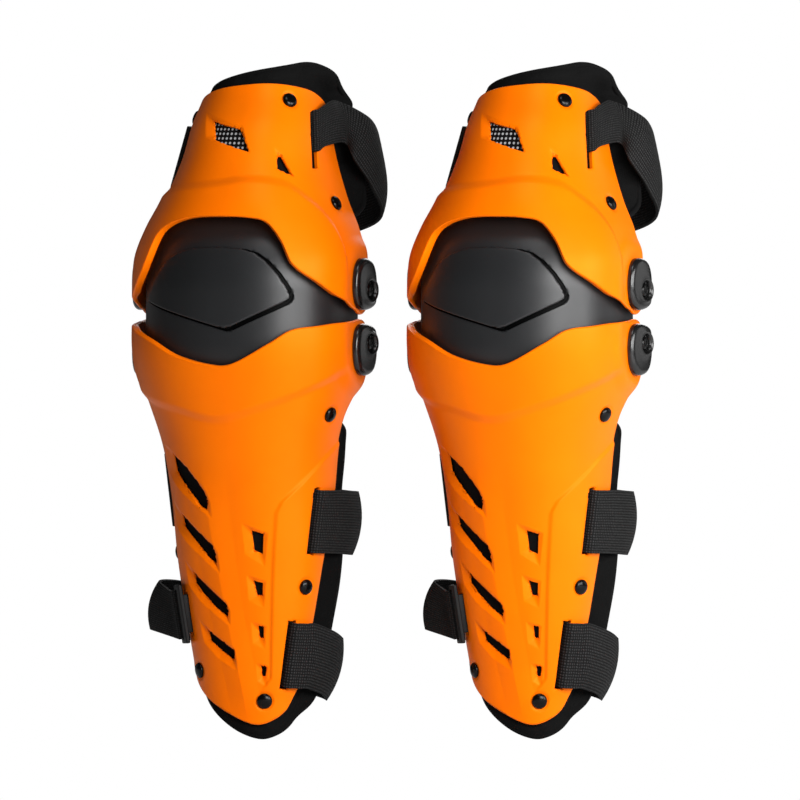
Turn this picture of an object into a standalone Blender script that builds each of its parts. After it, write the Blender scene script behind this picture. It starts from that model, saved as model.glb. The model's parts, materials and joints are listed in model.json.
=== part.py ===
"""A pair of hinged knee and shin guards: thigh plate, knee cup, shin plate, liners, straps and hardware.

Each guard faces -Y. Its knee lies at z = 0, midway between two hinge lines that run along X.
Sections of the plates are flattened ovals, given at heights above the knee.
"""
import math

import bmesh
import bpy
from mathutils import Matrix, Vector

# Overall layout
PAD_SPACING = 0.209
PIVOT_SPACING = 0.038
UPPER_PIVOT = Vector((0.0, 0.0, PIVOT_SPACING / 2))
LOWER_PIVOT = Vector((0.0, 0.0, -PIVOT_SPACING / 2))

# Walls and clearances
SHELL_WALL = 0.0030
CUP_WALL = 0.0030
FIT_GAP = 0.0003
RUN_GAP = 0.0004
LINER_GAP = 0.0012
HOLE_CLEARANCE = 0.0003

# Knee cup, turned about each hinge line, and the plates' reach over it
CUP_RADIUS = 0.0730
KNEE_SPACE = 0.0040
KNEE_REACH = CUP_RADIUS + SHELL_WALL + KNEE_SPACE

# Oval sections: height, half width, forward reach, set-back of the centre
OVAL_POWER = 2.4
HINGE_HALF_WIDTH = 0.0815
THIGH_SECTIONS = (
    (-0.020, HINGE_HALF_WIDTH, KNEE_REACH, 0.000),
    (0.031, HINGE_HALF_WIDTH, KNEE_REACH - 0.0015, 0.001),
    (0.045, HINGE_HALF_WIDTH - 0.0005, KNEE_REACH + 0.0005, 0.005),
    (0.064, 0.0745, KNEE_REACH + 0.0035, 0.012),
    (0.083, 0.0650, KNEE_REACH + 0.0035, 0.018),
    (0.111, 0.0545, 0.0755, 0.024),
    (0.137, 0.0485, 0.0650, 0.026),
    (0.160, 0.0425, 0.0560, 0.033),
    (0.185, 0.0395, 0.0510, 0.040),
)
SHIN_SECTIONS = (
    (-0.300, 0.0370, 0.0380, 0.008),
    (-0.259, 0.0420, 0.0420, 0.008),
    (-0.218, 0.0485, 0.0465, 0.007),
    (-0.173, 0.0555, 0.0515, 0.007),
    (-0.127, 0.0595, 0.0615, 0.0085),
    (-0.090, 0.0655, KNEE_REACH - 0.0085, 0.009),
    (-0.045, HINGE_HALF_WIDTH - 0.0020, KNEE_REACH + 0.0040, 0.0085),
    (-0.020, HINGE_HALF_WIDTH, KNEE_REACH, 0.000),
    (0.020, HINGE_HALF_WIDTH, KNEE_REACH, 0.000),
)
HINGE_FLAT_RADIUS = 0.026
HINGE_FLAT_FADE = 0.014
HINGE_SPACE = 0.0035
CUP_HALF_WIDTH = HINGE_HALF_WIDTH - SHELL_WALL - HINGE_SPACE

# Rims: angle from the front in degrees, positive towards +X, then height
EAR_RADIUS = 0.0175
EAR_ANGLE = 101.0
THIGH_RIM = (
    (-79.0, 0.006), (-62.0, 0.017), (-51.0, 0.027), (-43.0, 0.040), (-36.0, 0.058), (-28.0, 0.066),
    (-15.0, 0.071), (0.0, 0.072), (15.0, 0.071), (23.0, 0.0675), (31.0, 0.054), (37.5, 0.038),
    (52.0, 0.024), (63.0, 0.015), (79.0, 0.006),
)
THIGH_TOP = (
    (-101.0, 0.126), (-90.0, 0.137), (-60.0, 0.152), (-22.0, 0.163), (4.0, 0.1665), (22.0, 0.167),
    (44.0, 0.1645), (67.0, 0.160), (88.0, 0.152), (101.0, 0.140),
)
THIGH_SIDE = ((0.019, EAR_ANGLE), (0.040, 98.0), (0.060, 93.0), (0.160, 91.0))
SHIN_TOP = (
    (-79.0, -0.003), (-67.0, -0.006), (-40.0, -0.016), (-21.0, -0.028), (0.0, -0.035), (9.0, -0.033),
    (27.0, -0.019), (38.0, -0.0095), (52.0, -0.0065), (67.0, -0.004), (79.0, -0.003),
)
SHIN_RIM = (
    (-66.0, -0.255), (-55.0, -0.262), (-40.0, -0.271), (-25.0, -0.278), (-11.0, -0.2836), (5.0, -0.289),
    (20.0, -0.2915), (35.0, -0.2885), (50.0, -0.2807), (58.0, -0.270), (66.0, -0.259),
)
SHIN_SIDE = (
    (-0.270, 62.0), (-0.259, 64.0), (-0.218, 72.0), (-0.173, 76.0), (-0.127, 84.0), (-0.090, 80.0),
    (-0.070, 79.0), (-0.055, 84.0), (-0.045, 90.0), (-0.030, 99.0), (-0.019, EAR_ANGLE),
)
SHIN_HOOK_SIDE = (
    (-0.270, 62.0), (-0.259, 64.0), (-0.218, 74.0), (-0.185, 84.0), (-0.160, 92.0), (-0.127, 93.0),
    (-0.090, 93.0), (-0.070, 90.0), (-0.045, 92.0), (-0.030, 99.0), (-0.019, EAR_ANGLE),
)
CUP_CROWN = 0.918
CUP_CHIN = 0.569
CUP_TOP = tuple((degrees, UPPER_PIVOT.z + share * CUP_RADIUS) for degrees, share in (
    (-100.0, 0.151), (-95.0, 0.233), (-88.0, 0.288), (-80.0, 0.452), (-71.0, 0.658), (-60.0, 0.767),
    (-40.0, 0.863), (0.0, CUP_CROWN), (40.0, 0.863), (60.0, 0.767), (71.0, 0.658), (80.0, 0.452),
    (88.0, 0.288), (95.0, 0.233), (100.0, 0.151),
))
CUP_RIM = tuple((degrees, LOWER_PIVOT.z - share * CUP_RADIUS) for degrees, share in (
    (-100.0, 0.123), (-95.0, 0.205), (-88.0, 0.233), (-80.0, 0.247), (-68.0, 0.315), (-53.0, 0.438),
    (-30.0, 0.534), (0.0, CUP_CHIN), (30.0, 0.534), (53.0, 0.438), (68.0, 0.315), (80.0, 0.247),
    (88.0, 0.233), (95.0, 0.205), (100.0, 0.123),
))
CUP_SIDE = ((0.0, 100.0), (0.1, 100.0))
SHIN_LINES = (0, 0.06, 0.14, 0.23, 0.32, 0.42, 0.52, 0.62, 0.71, 0.79, 0.87, 0.93, 1)

# Raised panel of the knee cup: corners as angle and height, and its groove
PANEL_CORNERS = ((-52.0, 0.012), (-36.0, 0.040), (-22.0, 0.048), (25.0, 0.0465), (40.5, 0.0125), (4.0, -0.008))
PANEL_RAISE = 0.0016

# Hood and bowl that flare over the knee cup, each below or above a crease line
THIGH_CREASE = (
    (-95.0, 0.076), (-80.0, 0.086), (-40.0, 0.094), (-8.0, 0.0985), (13.0, 0.102), (31.0, 0.0985),
    (43.5, 0.089), (57.0, 0.0755), (67.0, 0.0555), (72.0, 0.030), (95.0, 0.010),
)
SHIN_CREASE = (
    (-95.0, -0.050), (-49.0, -0.063), (-26.0, -0.070), (-2.0, -0.0775), (23.0, -0.068), (44.0, -0.0565),
    (68.0, -0.042), (95.0, -0.024),
)
CREASE_RAISE = 0.0028
CREASE_RUN = 0.007

# Vents, as corner angles and heights
THIGH_VENTS = (
    ((-17.2, 0.1405), (2.9, 0.1348), (6.3, 0.1291), (10.3, 0.1177), (-12.2, 0.1269)),
    ((27.3, 0.1148), (29.2, 0.1148), (36.0, 0.1012), (26.7, 0.1062)),
)
SHIN_VENTS = (
    ((-43.4, -0.0972), (-18.0, -0.1269), (-18.4, -0.1394), (-30.9, -0.1282), (-45.6, -0.1126)),
    ((-47.2, -0.1412), (-15.0, -0.1658), (-14.5, -0.1769), (-36.4, -0.1594)),
    ((-41.0, -0.1802), (-7.8, -0.2043), (-7.7, -0.2136), (-26.2, -0.2033), (-37.3, -0.1906)),
    ((-31.6, -0.2226), (-2.6, -0.2390), (-2.2, -0.2443), (-14.1, -0.2400), (-28.5, -0.2318)),
    ((15.3, -0.1529), (24.2, -0.1554), (24.1, -0.1697), (17.3, -0.1672)),
    ((16.8, -0.1885), (24.5, -0.1901), (24.3, -0.1993), (19.8, -0.1986)),
    ((20.6, -0.2208), (25.5, -0.2215), (25.5, -0.2297), (21.9, -0.2290)),
    ((23.2, -0.2493), (27.8, -0.2500), (27.8, -0.2568), (24.4, -0.2565)),
)
SHIN_PANEL_EDGE = (
    (-0.300, 20.0), (-0.268, 22.0), (-0.258, 31.0), (-0.196, 30.8), (-0.140, 31.1), (-0.1315, 34.8),
    (-0.101, 63.5), (-0.094, 80.0),
)
SHIN_PANEL_RAISE = 0.0014
PANEL_RAMP = 4.0
CUT_OUTWARD = 0.012
CUT_INWARD = 0.0070

# Liners: thickness at the crown, at the drawn-in edge and at the sewn channels
LINER_CROWN = 0.0090
LINER_EDGE = 0.0035
LINER_CHANNEL = 0.0048
THIGH_LINER_TOP = (
    (-116.0, 0.126), (-105.0, 0.140), (-85.0, 0.151), (-50.0, 0.163), (-20.0, 0.171), (10.0, 0.1770),
    (48.0, 0.1805), (69.0, 0.180), (90.0, 0.1755), (105.0, 0.167), (116.0, 0.150),
)
THIGH_LINER_CLEARANCE = 0.011
THIGH_LINER_ARCH = UPPER_PIVOT.z + CUP_CROWN * CUP_RADIUS + THIGH_LINER_CLEARANCE
THIGH_LINER_RIM = (
    (-116.0, THIGH_LINER_ARCH - 0.017), (-100.0, THIGH_LINER_ARCH - 0.023), (-85.0, THIGH_LINER_ARCH - 0.019),
    (-60.0, THIGH_LINER_ARCH - 0.005), (0.0, THIGH_LINER_ARCH), (60.0, THIGH_LINER_ARCH - 0.005),
    (85.0, THIGH_LINER_ARCH - 0.019), (100.0, THIGH_LINER_ARCH - 0.023), (116.0, THIGH_LINER_ARCH - 0.017),
)
THIGH_LINER_SIDE = (
    (0.065, 104.0), (0.080, 111.0), (0.110, 112.0), (0.135, 110.0), (0.155, 114.0), (0.180, 104.0),
)
THIGH_LINER_FLARE = ((0.070, 0.010), (0.110, 0.010), (0.135, 0.008), (0.150, 0.018), (0.185, 0.018))
SHIN_LINER_TOP = (
    (-108.0, -0.088), (-85.0, -0.078), (-50.0, -0.072), (0.0, -0.073), (50.0, -0.072), (85.0, -0.078),
    (108.0, -0.088),
)
SHIN_LINER_RIM = (
    (-96.0, -0.252), (-66.0, -0.262), (-40.0, -0.278), (-11.0, -0.292), (10.0, -0.2985), (28.0, -0.3000),
    (45.0, -0.2970), (60.0, -0.2915), (75.0, -0.2825), (96.0, -0.2680),
)
SHIN_LINER_SIDE = (
    (-0.290, 84.0), (-0.260, 98.0), (-0.220, 104.0), (-0.185, 106.0), (-0.130, 102.0), (-0.105, 100.0),
    (-0.080, 95.0),
)
SHIN_LINER_FLARE = (
    (-0.290, 0.005), (-0.260, 0.008), (-0.217, 0.009), (-0.185, 0.009), (-0.105, 0.005), (-0.080, 0.002),
)
KNEE_LINER_TOP = ((-62.0, 0.046), (-30.0, 0.060), (0.0, 0.064), (30.0, 0.060), (62.0, 0.046))
KNEE_LINER_RIM = ((-62.0, -0.036), (-30.0, -0.049), (0.0, -0.052), (30.0, -0.049), (62.0, -0.036))
KNEE_LINER_SIDE = ((-0.05, 58.0), (0.0, 62.0), (0.06, 56.0))
KNEE_LINER_FLARE = ((-0.05, 0.0), (0.06, 0.0))
LINER_FLARE_START = 8.0
LINER_FLARE_END = 26.0
LINER_ACROSS = (-1, -0.93, -0.85, -0.77, -0.52, -0.26, -0.07, 0, 0.07, 0.26, 0.52, 0.77, 0.85, 0.93, 1)
LINER_UPWARD = (0, 0.05, 0.11, 0.18, 0.28, 0.38, 0.50, 0.62, 0.72, 0.82, 0.89, 0.95, 1)
KNEE_LINER_ACROSS = (-1, -0.93, -0.85, -0.72, -0.4, 0, 0.4, 0.72, 0.85, 0.93, 1)
KNEE_LINER_UPWARD = (0, 0.11, 0.22, 0.50, 0.78, 0.89, 1)
LINER_CHANNELS_ACROSS = (-0.85, 0, 0.85)
LINER_CHANNELS_UPWARD = (0.11, 0.89)

# Hinge hardware
PIN_RADIUS = 0.0035
PIN_HEAD_RADIUS = 0.0050
PIN_HEAD_HEIGHT = 0.0022
PIN_SHOULDER_RADIUS = 0.0080
PIN_FOOT_RADIUS = 0.0070
PIN_FOOT_HEIGHT = 0.0016
PIN_HOLE_DEPTH = 0.020
PIN_HEAD_TAPER = 0.7
CAP_THICKNESS = 0.0085
CAP_TOE = math.radians(10.0)
CAP_RECESS_DEPTH = 0.0035
CAP_RECESS_RADIUS = 0.0080
CAP_RINGS = (
    (0.0, 0.0), (CAP_THICKNESS - 0.0040, 0.0008), (CAP_THICKNESS - 0.0013, 0.0026), (CAP_THICKNESS, 0.0048),
)
CAP_OUTLINE = (
    (-0.0100, -0.0070), (-0.0060, -0.0125), (0.0060, -0.0140), (0.0155, -0.0095), (0.0195, 0.0020),
    (0.0170, 0.0150), (0.0095, 0.0220), (0.0000, 0.0225), (-0.0065, 0.0180), (-0.0105, 0.0060),
)

# Rivets
RIVET_HEAD_RADIUS = 0.0055
RIVET_HEAD_HEIGHT = 0.0030
RIVET_SHANK_RADIUS = 0.0020
RIVET_BITE = 0.0022
RIVET_LIFT = 0.0006
RIVET_TAPER = 0.62
ROUND_SEGMENTS = 8
CAP_SEGMENTS = 10
THIGH_RIVETS = {
    "top_left": (-64.0, 0.142), "top_right": (36.0, 0.1548),
    "side_left": (-84.0, 0.066), "side_right": (70.5, 0.0813),
}
SHIN_RIVETS = {
    "upper_left": (-85.0, -0.072), "upper_right": (63.0, -0.0700), "middle_left": (-79.0, -0.168),
    "middle_right": (59.0, -0.193), "lower_left": (-47.0, -0.2525), "lower_right": (26.5, -0.2745),
}

# Straps: the slots at both sides as low and high edges, then the loop behind the leg as its middle line
# and its lean, the high edge's X less the low edge's
STRAP_THICKNESS = 0.0020
STRAP_LIFT = 0.0017
STRAP_TAIL = 0.0022
STRAP_BEND = 0.0024
STRAP_ARCH = 0.0022
STRAP_OVER_BAR = 0.0008
STRAP_APPROACH = 0.0070
STRAP_DIP = 0.3
STRAP_END = 0.5
STRAP_STEP_MIN = 0.0016
STRAP_STEP_MAX = 0.018
STRAP_SAG_LIMIT = 0.0009
CURVE_STEPS = 12
SLOT_HALF_WIDTH = 0.0032
SLOT_END_CLEARANCE = 0.0012
STRAPS = {
    "thigh": {
        "right": ((54.5, 0.1075), (60.5, 0.1455)),
        "left": ((-78.0, 0.094), (-74.0, 0.132)),
        "loop": ((0.068, 0.036, 0.1205, 0.0), (0.074, 0.058, 0.106, 0.0), (0.067, 0.086, 0.092, 0.0),
                 (0.039, 0.107, 0.080, 0.0), (0.0, 0.114, 0.074, 0.0), (-0.039, 0.107, 0.076, 0.0),
                 (-0.065, 0.086, 0.084, 0.0), (-0.073, 0.058, 0.096, 0.0), (-0.068, 0.036, 0.107, 0.0)),
    },
    "calf": {
        "right": ((60.0, -0.1685), (61.4, -0.1235)),
        "left": ((-90.0, -0.1455), (-90.0, -0.1005)),
        "loop": ((0.0665, 0.020, -0.147, 0.003), (0.0622, 0.046, -0.1475, 0.0046), (0.0467, 0.072, -0.147, 0.0046),
                 (0.024, 0.086, -0.145, 0.004), (0.0, 0.090, -0.142, 0.003), (-0.027, 0.087, -0.138, 0.002),
                 (-0.050, 0.075, -0.133, 0.001), (-0.064, 0.053, -0.128, 0.0), (-0.0670, 0.037, -0.125, 0.0)),
    },
    "ankle": {
        "right": ((44.5, -0.2645), (49.0, -0.2185)),
        "left": ((-58.0, -0.2290), (-58.0, -0.1945)),
        "loop": ((0.0540, 0.012, -0.2475, 0.007), (0.0500, 0.036, -0.2520, 0.012), (0.0385, 0.060, -0.2510, 0.012),
                 (0.019, 0.072, -0.246, 0.012), (0.0, 0.076, -0.238, 0.011), (-0.029, 0.074, -0.226, 0.011),
                 (-0.058, 0.062, -0.2135, 0.010), (-0.077, 0.038, -0.206, 0.009), (-0.0815, 0.012, -0.2055, 0.006)),
    },
}

# Strap hooks: a plate with a window for the strap and a tongue for the plate's slot
HOOK_HALF_LENGTH = 0.0090
HOOK_THICKNESS = 0.0030
HOOK_BAR = 0.0030
HOOK_WINDOW = 0.0060
HOOK_RAIL = 0.0035
HOOK_TONGUE = 0.0026
HOOK_LIFT = 0.0022
TONGUE_BACK = 0.0050
TONGUE_FRONT = 0.0075
TONGUE_SHARE = 0.8
TONGUE_CLEARANCE = 0.0004

COLOURS = {
    "orange_plastic": ((0.90, 0.19, 0.01), 0.38),
    "black_plastic": ((0.03, 0.03, 0.032), 0.35),
    "cap_plastic": ((0.025, 0.025, 0.026), 0.22),
    "foam_fabric": ((0.006, 0.006, 0.006), 0.90),
    "elastic_webbing": ((0.013, 0.013, 0.013), 0.85),
    "rivet_steel": ((0.012, 0.012, 0.013), 0.30),
}


def smooth_curve(points, value):
    """Read a smooth curve through (place, height) points, held level past both ends."""
    if value <= points[0][0]:
        return points[0][1]
    if value >= points[-1][0]:
        return points[-1][1]
    index = max(i for i in range(len(points) - 1) if points[i][0] <= value)

    def slope(i):
        before = max(i - 1, 0)
        after = min(i + 1, len(points) - 1)
        return (points[after][1] - points[before][1]) / (points[after][0] - points[before][0])

    start, end = points[index], points[index + 1]
    run = end[0] - start[0]
    t = (value - start[0]) / run
    rise = end[1] - start[1]
    bend = (slope(index) * run - rise) * (1 - t) + (rise - slope(index + 1) * run) * t
    return start[1] + rise * t + t * (1 - t) * bend


def rim(points):
    """A rim as a function from the angle to the height."""
    return lambda degrees: smooth_curve(points, degrees)


def ease(low, high, value):
    """Go smoothly from 0 at low to 1 at high."""
    t = min(max((value - low) / (high - low), 0.0), 1.0)
    return t * t * (3 - 2 * t)


def oval_point(sections, degrees, height, grow=0.0):
    """A point on a plate's oval section, at an angle from the front."""
    half = smooth_curve([(s[0], s[1]) for s in sections], height) + grow
    reach = smooth_curve([(s[0], s[2]) for s in sections], height) + grow
    back = smooth_curve([(s[0], s[3]) for s in sections], height)
    angle = math.radians(degrees)
    across = abs(math.sin(angle)) / half
    along = abs(math.cos(angle)) / reach
    radius = (across ** OVAL_POWER + along ** OVAL_POWER) ** (-1 / OVAL_POWER)
    return Vector((radius * math.sin(angle), back - radius * math.cos(angle), height))


def flatten_at_hinge(point, pivot):
    """Press the plate flat where the hinge cap sits."""
    distance = math.hypot(point.y, point.z - pivot.z)
    weight = 1 - ease(HINGE_FLAT_RADIUS, HINGE_FLAT_RADIUS + HINGE_FLAT_FADE, distance)
    side = math.copysign(HINGE_HALF_WIDTH, point.x)
    point.x += (side - point.x) * weight
    return point


def thigh_base(degrees, height):
    return flatten_at_hinge(oval_point(THIGH_SECTIONS, degrees, height), UPPER_PIVOT)


def thigh_point(degrees, height):
    """The thigh plate's outside: the hood below the crease stands proud."""
    crease = smooth_curve(THIGH_CREASE, degrees)
    grow = CREASE_RAISE * ease(0.0, CREASE_RUN, crease - height)
    return flatten_at_hinge(oval_point(THIGH_SECTIONS, degrees, height, grow), UPPER_PIVOT)


def shin_base(degrees, height):
    return flatten_at_hinge(oval_point(SHIN_SECTIONS, degrees, height), LOWER_PIVOT)


def shin_point(degrees, height):
    """The shin plate's outside: the bowl above the crease and the side panel stand proud."""
    crease = smooth_curve(SHIN_CREASE, degrees)
    grow = CREASE_RAISE * ease(0.0, CREASE_RUN, height - crease)
    panel = smooth_curve(SHIN_PANEL_EDGE, height)
    grow += SHIN_PANEL_RAISE * ease(0.0, PANEL_RAMP, degrees - panel)
    return flatten_at_hinge(oval_point(SHIN_SECTIONS, degrees, height, grow), LOWER_PIVOT)


def inside_panel(degrees, height):
    """How far a place lies inside the raised panel, in degrees, negative outside it."""
    scale = math.degrees(1 / CUP_RADIUS)
    corners = [Vector((a, z * scale)) for a, z in PANEL_CORNERS]
    place = Vector((degrees, height * scale))
    depth = math.inf
    for start, end in zip(corners, corners[1:] + corners[:1]):
        edge = (end - start).normalized()
        depth = min(depth, edge.y * (place.x - start.x) - edge.x * (place.y - start.y))
    return depth


def cup_base(degrees, height):
    """A point on the knee cup, which is turned about each hinge line and straight between them."""
    over = max(abs(height) - UPPER_PIVOT.z, 0.0)
    angle = math.radians(degrees)
    low, high = 0.0, 2 * CUP_HALF_WIDTH
    for _ in range(40):
        radius = (low + high) / 2
        across = abs(radius * math.sin(angle)) / CUP_HALF_WIDTH
        turned = math.hypot(radius * math.cos(angle), over) / CUP_RADIUS
        if across ** OVAL_POWER + turned ** OVAL_POWER > 1:
            high = radius
        else:
            low = radius
    return Vector((radius * math.sin(angle), -radius * math.cos(angle), height))


def cup_point(degrees, height):
    """The knee cup's outside, with its raised panel."""
    raised = PANEL_RAISE * ease(0.0, PANEL_RAMP, inside_panel(degrees, height))
    return cup_base(degrees, height) + outward(cup_base, degrees, height) * raised


def outward(surface, degrees, height):
    """The surface's outward direction."""
    across = surface(degrees + 0.5, height) - surface(degrees - 0.5, height)
    upward = surface(degrees, height + 0.0005) - surface(degrees, height - 0.0005)
    return across.cross(upward).normalized()


def ear_edge(curve, pivot, turn):
    """A rim curve that rounds off about the pivot at the hinge ears."""
    limit = curve[-1][0]

    def height(degrees):
        if abs(degrees) <= limit:
            return smooth_curve(curve, degrees)
        depth = HINGE_HALF_WIDTH * math.tan(math.radians(abs(degrees) - 90))
        arc = pivot.z + turn * math.sqrt(max(EAR_RADIUS ** 2 - depth ** 2, 0.0))
        blend = ease(limit, 90.0, abs(degrees))
        return smooth_curve(curve, degrees) * (1 - blend) + arc * blend

    return height


def patch_places(low, high, sides, across_lines, upward_lines):
    """Angles and heights of a grid that fills the outline between two rims and two side edges."""
    rows = []
    for u in across_lines:
        side = sides[0] if u < 0 else sides[1]
        row = []
        for v in upward_lines:
            degrees = 90.0 * u
            for _ in range(6):
                height = low(degrees) * (1 - v) + high(degrees) * v
                degrees = u * smooth_curve(side, height)
            row.append((degrees, height))
        rows.append(row)
    return rows


def closed_mesh(name, points, faces):
    """A mesh of one closed body with its faces pointing out."""
    mesh = bpy.data.meshes.new(name)
    mesh.from_pydata([tuple(p) for p in points], [], faces)
    shape = bmesh.new()
    shape.from_mesh(mesh)
    bmesh.ops.remove_doubles(shape, verts=shape.verts, dist=1e-7)
    bmesh.ops.recalc_face_normals(shape, faces=shape.faces)
    shape.to_mesh(mesh)
    shape.free()
    return mesh


def slab_mesh(name, front, back):
    """Close two matching grids of points into one wall."""
    count_u, count_v = len(front), len(front[0])
    points = [p for row in front for p in row] + [p for row in back for p in row]
    shift = count_u * count_v

    def at(i, j):
        return i * count_v + j

    faces = []
    for i in range(count_u - 1):
        for j in range(count_v - 1):
            corners = (at(i, j), at(i + 1, j), at(i + 1, j + 1), at(i, j + 1))
            faces.append(corners)
            faces.append(tuple(c + shift for c in reversed(corners)))
    border = [at(i, 0) for i in range(count_u)]
    border += [at(count_u - 1, j) for j in range(1, count_v)]
    border += [at(i, count_v - 1) for i in range(count_u - 2, -1, -1)]
    border += [at(0, j) for j in range(count_v - 2, 0, -1)]
    for start, end in zip(border, border[1:] + border[:1]):
        faces.append((end, start, start + shift, end + shift))
    return closed_mesh(name, points, faces)


def even_lines(count, start=-1.0, end=1.0, crowd=0.0):
    """Lines from start to end, drawn towards both ends by crowd."""
    lines = []
    for i in range(count + 1):
        t = 2 * i / count - 1
        t = t * (1 + crowd) - crowd * t ** 3
        lines.append(start + (end - start) * (t + 1) / 2)
    return lines


def shell_mesh(name, surface, base, places, wall):
    """A plate with its moulded steps outside and a plain inside."""
    front = [[surface(*place) for place in row] for row in places]
    back = [[base(*place) - outward(base, *place) * wall for place in row] for row in places]
    return slab_mesh(name, front, back)


def liner_mesh(name, surface, inset, outline, shell_sides, flare, across_lines, upward_lines):
    """A foam pad behind a plate, crowned, with drawn-in edges and sewn channels."""
    low, high, side = outline
    places = patch_places(rim(low), rim(high), (side, side), across_lines, upward_lines)
    front, back = [], []
    for u, row in zip(across_lines, places):
        front_row, back_row = [], []
        for v, (degrees, height) in zip(upward_lines, row):
            normal = outward(surface, degrees, height)
            edge = smooth_curve(shell_sides[0] if u < 0 else shell_sides[1], height)
            past_edge = ease(LINER_FLARE_START, LINER_FLARE_END, abs(degrees) - edge)
            outer = surface(degrees, height) - normal * (inset - smooth_curve(flare, height) * past_edge)
            border = abs(u) == 1 or v in (0, 1)
            channel = u in LINER_CHANNELS_ACROSS or v in LINER_CHANNELS_UPWARD
            thickness = LINER_EDGE if border else LINER_CHANNEL if channel else LINER_CROWN
            front_row.append(outer)
            back_row.append(outer - normal * thickness)
        front.append(front_row)
        back.append(back_row)
    return slab_mesh(name, front, back)


def turned_mesh(name, profile, segments):
    """Turn a (radius, height) profile about Z; it starts and ends on the axis."""
    points, rings = [], []
    for radius, height in profile:
        if radius == 0:
            rings.append([len(points)] * segments)
            points.append(Vector((0, 0, height)))
            continue
        rings.append(list(range(len(points), len(points) + segments)))
        for k in range(segments):
            angle = 2 * math.pi * k / segments
            points.append(Vector((radius * math.cos(angle), radius * math.sin(angle), height)))
    faces = []
    for lower, upper in zip(rings, rings[1:]):
        for k in range(segments):
            after = (k + 1) % segments
            corners = [lower[k], lower[after], upper[after], upper[k]]
            faces.append(tuple(dict.fromkeys(corners)))
    return closed_mesh(name, points, faces)


def cell_mesh(name, lines, filled):
    """The closed skin of the filled boxes between three sets of lines."""
    counts = [len(axis) - 1 for axis in lines]
    points, faces = [], []
    for i in range(counts[0]):
        for j in range(counts[1]):
            for k in range(counts[2]):
                if not filled(i, j, k):
                    continue
                for axis in range(3):
                    for step in (0, 1):
                        cell = [i, j, k]
                        cell[axis] += 1 if step else -1
                        if 0 <= cell[axis] < counts[axis] and filled(*cell):
                            continue
                        a, b = [n for n in range(3) if n != axis]
                        face = []
                        for da, db in ((0, 0), (1, 0), (1, 1), (0, 1)):
                            corner = [i, j, k]
                            corner[axis] += step
                            corner[a] += da
                            corner[b] += db
                            face.append(len(points))
                            points.append(Vector([lines[n][corner[n]] for n in range(3)]))
                        faces.append(face)
    return closed_mesh(name, points, faces)


def surface_frame(surface, degrees, height):
    """A frame on a surface: X towards the front, Y up along it, Z outward."""
    normal = outward(surface, degrees, height)
    forward = Vector((-normal.y, normal.x, 0)).normalized()
    forward *= -1 if degrees > 0 else 1
    upward = normal.cross(forward).normalized()
    frame = Matrix((forward, upward, normal)).transposed().to_4x4()
    frame.translation = surface(degrees, height)
    return frame


def prism_points(surface, corners):
    """The two end faces of a cutter that goes straight through a plate at some corners."""
    middle = (sum(c[0] for c in corners) / len(corners), sum(c[1] for c in corners) / len(corners))
    normal = outward(surface, *middle)
    centre = surface(*middle)
    flat = [surface(*c) for c in corners]
    flat = [p - normal * (p - centre).dot(normal) for p in flat]
    return [p + normal * CUT_OUTWARD for p in flat], [p - normal * CUT_INWARD for p in flat]


def prism_mesh(name, surface, outlines):
    """One cutter mesh with a separate prism for each outline."""
    points, faces = [], []
    for corners in outlines:
        outer, inner = prism_points(surface, corners)
        count = len(corners)
        base = len(points)
        points += outer + inner
        faces.append(tuple(range(base, base + count)))
        faces.append(tuple(range(base + 2 * count - 1, base + count - 1, -1)))
        for k in range(count):
            after = (k + 1) % count
            faces.append((base + k, base + after, base + count + after, base + count + k))
    return closed_mesh(name, points, faces)


def joined_mesh(name, pieces):
    """Join placed meshes of separate bodies into one cutter mesh."""
    shape = bmesh.new()
    for mesh, matrix in pieces:
        copy = mesh.copy()
        copy.transform(matrix)
        shape.from_mesh(copy)
    bmesh.ops.recalc_face_normals(shape, faces=shape.faces)
    mesh = bpy.data.meshes.new(name)
    shape.to_mesh(mesh)
    shape.free()
    return mesh


def round_hole(radius, inward):
    """A cutter for a round hole along Z."""
    profile = ((0, -inward), (radius, -inward), (radius, CUT_OUTWARD), (0, CUT_OUTWARD))
    return turned_mesh("hole", profile, ROUND_SEGMENTS)


def hinge_frame(side, pivot, along=0.0):
    """A frame on a hinge line: Z points out of that side of the knee."""
    outward_axis = Vector((side, 0, 0))
    up = Vector((0, 0, 1 if pivot.z > 0 else -1))
    frame = Matrix((up.cross(outward_axis), up, outward_axis)).transposed().to_4x4()
    frame.translation = pivot + outward_axis * along
    return frame


def slot_corners(surface, ends):
    """Corners of a strap slot from its low and high ends."""
    corners = []
    for (degrees, height), turn in zip(ends, (-1, 1)):
        place = height + turn * SLOT_END_CLEARANCE
        per_degree = (surface(degrees + 0.5, place) - surface(degrees - 0.5, place)).length
        half = -turn * SLOT_HALF_WIDTH / per_degree
        corners += [(degrees - half, place), (degrees + half, place)]
    return corners


def hook_frame(surface, strap):
    """The frame of a strap's hook, on the plate's left side."""
    low, high = strap["left"]
    return surface_frame(surface, (low[0] + high[0]) / 2, (low[1] + high[1]) / 2)


def tongue_slot(surface, strap):
    """A cutter for the slot that a hook's tongue goes into."""
    low, high = strap["left"]
    half_height = TONGUE_SHARE * (high[1] - low[1]) / 2 + SLOT_END_CLEARANCE
    lines = (
        (TONGUE_BACK - TONGUE_CLEARANCE, TONGUE_FRONT + TONGUE_CLEARANCE),
        (-half_height, half_height),
        (-CUT_INWARD, CUT_OUTWARD),
    )
    return cell_mesh("tongue_slot", lines, lambda i, j, k: True), hook_frame(surface, strap)


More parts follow.
